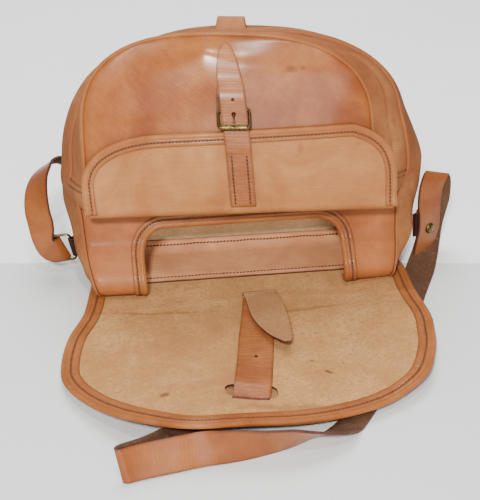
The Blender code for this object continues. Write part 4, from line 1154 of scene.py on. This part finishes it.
ring_plan = rounded_path(spots((0, 0), (0, 18), (19, 18), (19, -18), (0, -18), (0, 0)), 4.0, 8)[:-1]
FOLD_RADIUS = 2.25
fold_turn = [math.radians(-90 + 15 * k) for k in range(13)]
for label, place, root_reach, tall in (("left", left_place, 3.0, 12.0), ("right", right_place, 3.5, 13.5)):
    brass_wire("ring_brass_" + label, laid(place, ring_plan), 1.3, "ring_" + label, closed=True)
    tab = [(-root_reach, -FOLD_RADIUS),
           *[(FOLD_RADIUS * math.cos(a), FOLD_RADIUS * math.sin(a)) for a in fold_turn],
           (-root_reach, FOLD_RADIUS)]
    edges = [(place(out, -tall, behind), place(out, tall, behind)) for out, behind in tab]
    band("tab_hide_" + label, edges, 1.3, (tab_dark, tab_dark), (-1 if label == "left" else 1, 0, 0),
         "side_tab_" + label, 9, 0.3)


# The shoulder strap, 31 mm wide, burnished at its edges. Its right part folds over by the ring, goes
# down to the table, under the flap and out in front of it. The left part goes round behind the bag.

long_tan = grain_side("long_strap_tan", (158, 93, 47), (128, 69, 33), (76, 32, 14), 0.22, 0.0,
                      0.24, 0.00020, -0.06, 1.0, 0.14)
# Along the strap: middle in the scene, and direction across.
right_table = [
    (198.6, 39.5, 8, 25, 15, 7), (200.8, 40.7, 20, 25, 15, 1), (203, 41.5, 34, 25, 15, -3),
    (202.8, 42.6, 50, 25, 15, -3), (202.2, 44.5, 61, 26.5, 13, -4), (203.7, 48, 77, 27, 11, -5),
    (207.5, 52, 87, 28, 9, -7), (211, 56.5, 90.5, 28, 7, -9), (213.5, 60.5, 89, 28, 7, -9),
    (215.3, 62.5, 83, 28, 8, -8), (216.3, 62.5, 72, 28, 9, -6), (216, 61, 56, 28, 11, -5),
    (213.5, 59.8, 39, 27, 13, -4), (209.5, 56.3, 24, 27, 12, -3), (204, 46.5, 12, 27, 6, -1),
    (196, 29, 4.4, 27, -1, 0), (186.7, 8, 1.6, 27, -6, 0), (176.7, -12, 1.4, 27, -9, 0),
    (166, -34, 1.4, 27, -12, 0), (152.5, -64, 1.4, 26, -14, 0), (135, -102, 1.4, 26, -15, 0),
    (115, -142, 1.4, 25, -17, 0), (94, -179, 1.5, 22, -22, 0), (76, -209, 1.5, 14, -27, 0),
    (66.5, -223.5, 1.5, 9, -28, 0.5), (56, -237, 6, 4, -27.5, 9.5), (40, -247.5, 10.5, -1, -25, 19),
    (22, -252.5, 12.5, -2, -19.5, 24), (4, -257, 14.8, 0, -12, 28.6), (-20, -260.5, 15.6, 0, -5, 30),
    (-47, -260.8, 15.5, 0, 5, 30.3), (-72, -259.5, 14.6, 0, 13.5, 27.5), (-94, -263, 14.5, -1, 14.5, 27.3),
    (-116, -266.8, 14.4, -3, 14, 27.3), (-132, -270.4, 14.5, -5, 12.5, 27.5),
    (-140.5, -273, 14.6, -6, 11, 28), (-143.8, -271, 14.7, -5.5, 10.5, 28),
    (-141, -267.6, 14.7, -4.5, 10.5, 28), (-132, -264.4, 14.6, -4, 11.5, 27.5),
    (-120, -260, 14.3, -4, 12.5, 27), (-107, -252, 12.6, -7, 16, 22), (-92, -239, 9, -12, 20, 13),
    (-77, -224.5, 6, -15, 23, 7), (-65, -214, 4.6, -16, 24, 5)]
left_table = [
    (-206, 60.5, 31, -6, -6, 29), (-198, 58.6, 31, -7, -6, 29), (-190, 58.3, 33.2, -8, -6, 28.5),
    (-184.3, 53.5, 33.9, -10, -6, 28), (-189, 48.6, 33.4, -8, -6, 28.5), (-195.5, 48.4, 32.4, 1, -7, 29),
    (-202, 49.2, 38.5, 13, -8, 24.5), (-205, 52.5, 50, 20, -9, 17), (-206.9, 58, 61.5, 23, -12, 12),
    (-209, 63, 71, 23, -13, 11), (-209.8, 69, 81.5, 22, -11, 14), (-209.2, 76, 90.5, 21, -10, 16),
    (-207, 84, 98, 20, -13, 17), (-202.3, 94, 103, 17, -17, 17), (-196, 106, 104, 8, -25, 17),
    (-188.8, 120, 100.5, -2, -25, 17), (-181.6, 134, 92, -3, -20, 22), (-172, 147, 78, -1, -16, 26),
    (-156, 160, 58, 0, -12, 28), (-132, 169, 36, 0, -6, 29.5), (-98, 172, 18, 0, 0, 30),
    (-60, 168, 15.7, 0, 0, 30), (-30, 163, 15.7, 0, 0, 30), (-18, 161, 15.7, 0, 0, 30),
    (-10, 160, 15.7, 0, 0, 30)]
STRAP_HALF, STRAP_THICKNESS, TIP_LENGTH = 15.5, 2.6, 14.0


def shoulder_strap(name, table, towards, replaced):
    """The strap through its table's rows, rounded at its tip and never below the table."""
    middles = curve_through([Vector(row[:3]) for row in table], 8)
    sides = curve_through([Vector(row[3:]).normalized() for row in table], 8)
    run = lengths(middles)
    edges = []
    for middle, side, at in zip(middles, sides, run):
        left_over = run[-1] - at
        half = STRAP_HALF * math.sqrt(max(0.02, 1 - max(0.0, 1 - left_over / TIP_LENGTH) ** 2))
        side = side.normalized()
        rest = half * abs(side.z) + STRAP_THICKNESS / 2 * math.sqrt(1 - side.z ** 2) + 0.1
        middle = Vector((middle.x, middle.y, max(middle.z, rest))) - SHIFT
        edges.append((middle - side * half, middle + side * half))
    return band(name, edges, STRAP_THICKNESS, (long_tan, strap_flesh_painted_shade), towards, replaced, 17)


right_strap = shoulder_strap("long_strap_right", right_table, (0, 0, -1), "shoulder_strap_right")
shoulder_strap("long_strap_left", left_table, FORWARD, "shoulder_strap_left")
punched_hole(right_strap, RIVET_AT - SHIFT, FACING, 1.9)

# The rivet that joins the strap's fold, as radius and height from its foot to its top.
rivet = [(3.8, -2.7), (3.8, -1.75), (1.5, -1.75), (1.5, 1.35), (5.8, 1.35), (5.9, 1.9), (5.4, 2.9),
         (4.2, 3.7), (2.6, 4.1), (0.9, 4.25)]
turn = Vector((0, 0, 1)).rotation_difference(FACING).to_matrix()
points, faces = [], []
for radius, height in rivet:
    for k in range(32):
        angle = math.tau * k / 32
        point = turn @ Vector((radius * math.cos(angle), radius * math.sin(angle), height))
        points.append((RIVET_AT - SHIFT + point) * MM)
for ring in range(len(rivet) - 1):
    for k in range(32):
        a, b = ring * 32 + k, ring * 32 + (k + 1) % 32
        faces.append((a, b, b + 32, a + 32))
faces += [tuple(reversed(range(32))), tuple(range(len(points) - 32, len(points)))]
data = bpy.data.meshes.new("rivet_brass")
data.from_pydata(points, [], faces)
piece = new_piece("rivet_brass", data, brass)
bpy.ops.object.shade_smooth_by_angle(angle=math.radians(40))
dressed(piece, "strap_rivet")

low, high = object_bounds()
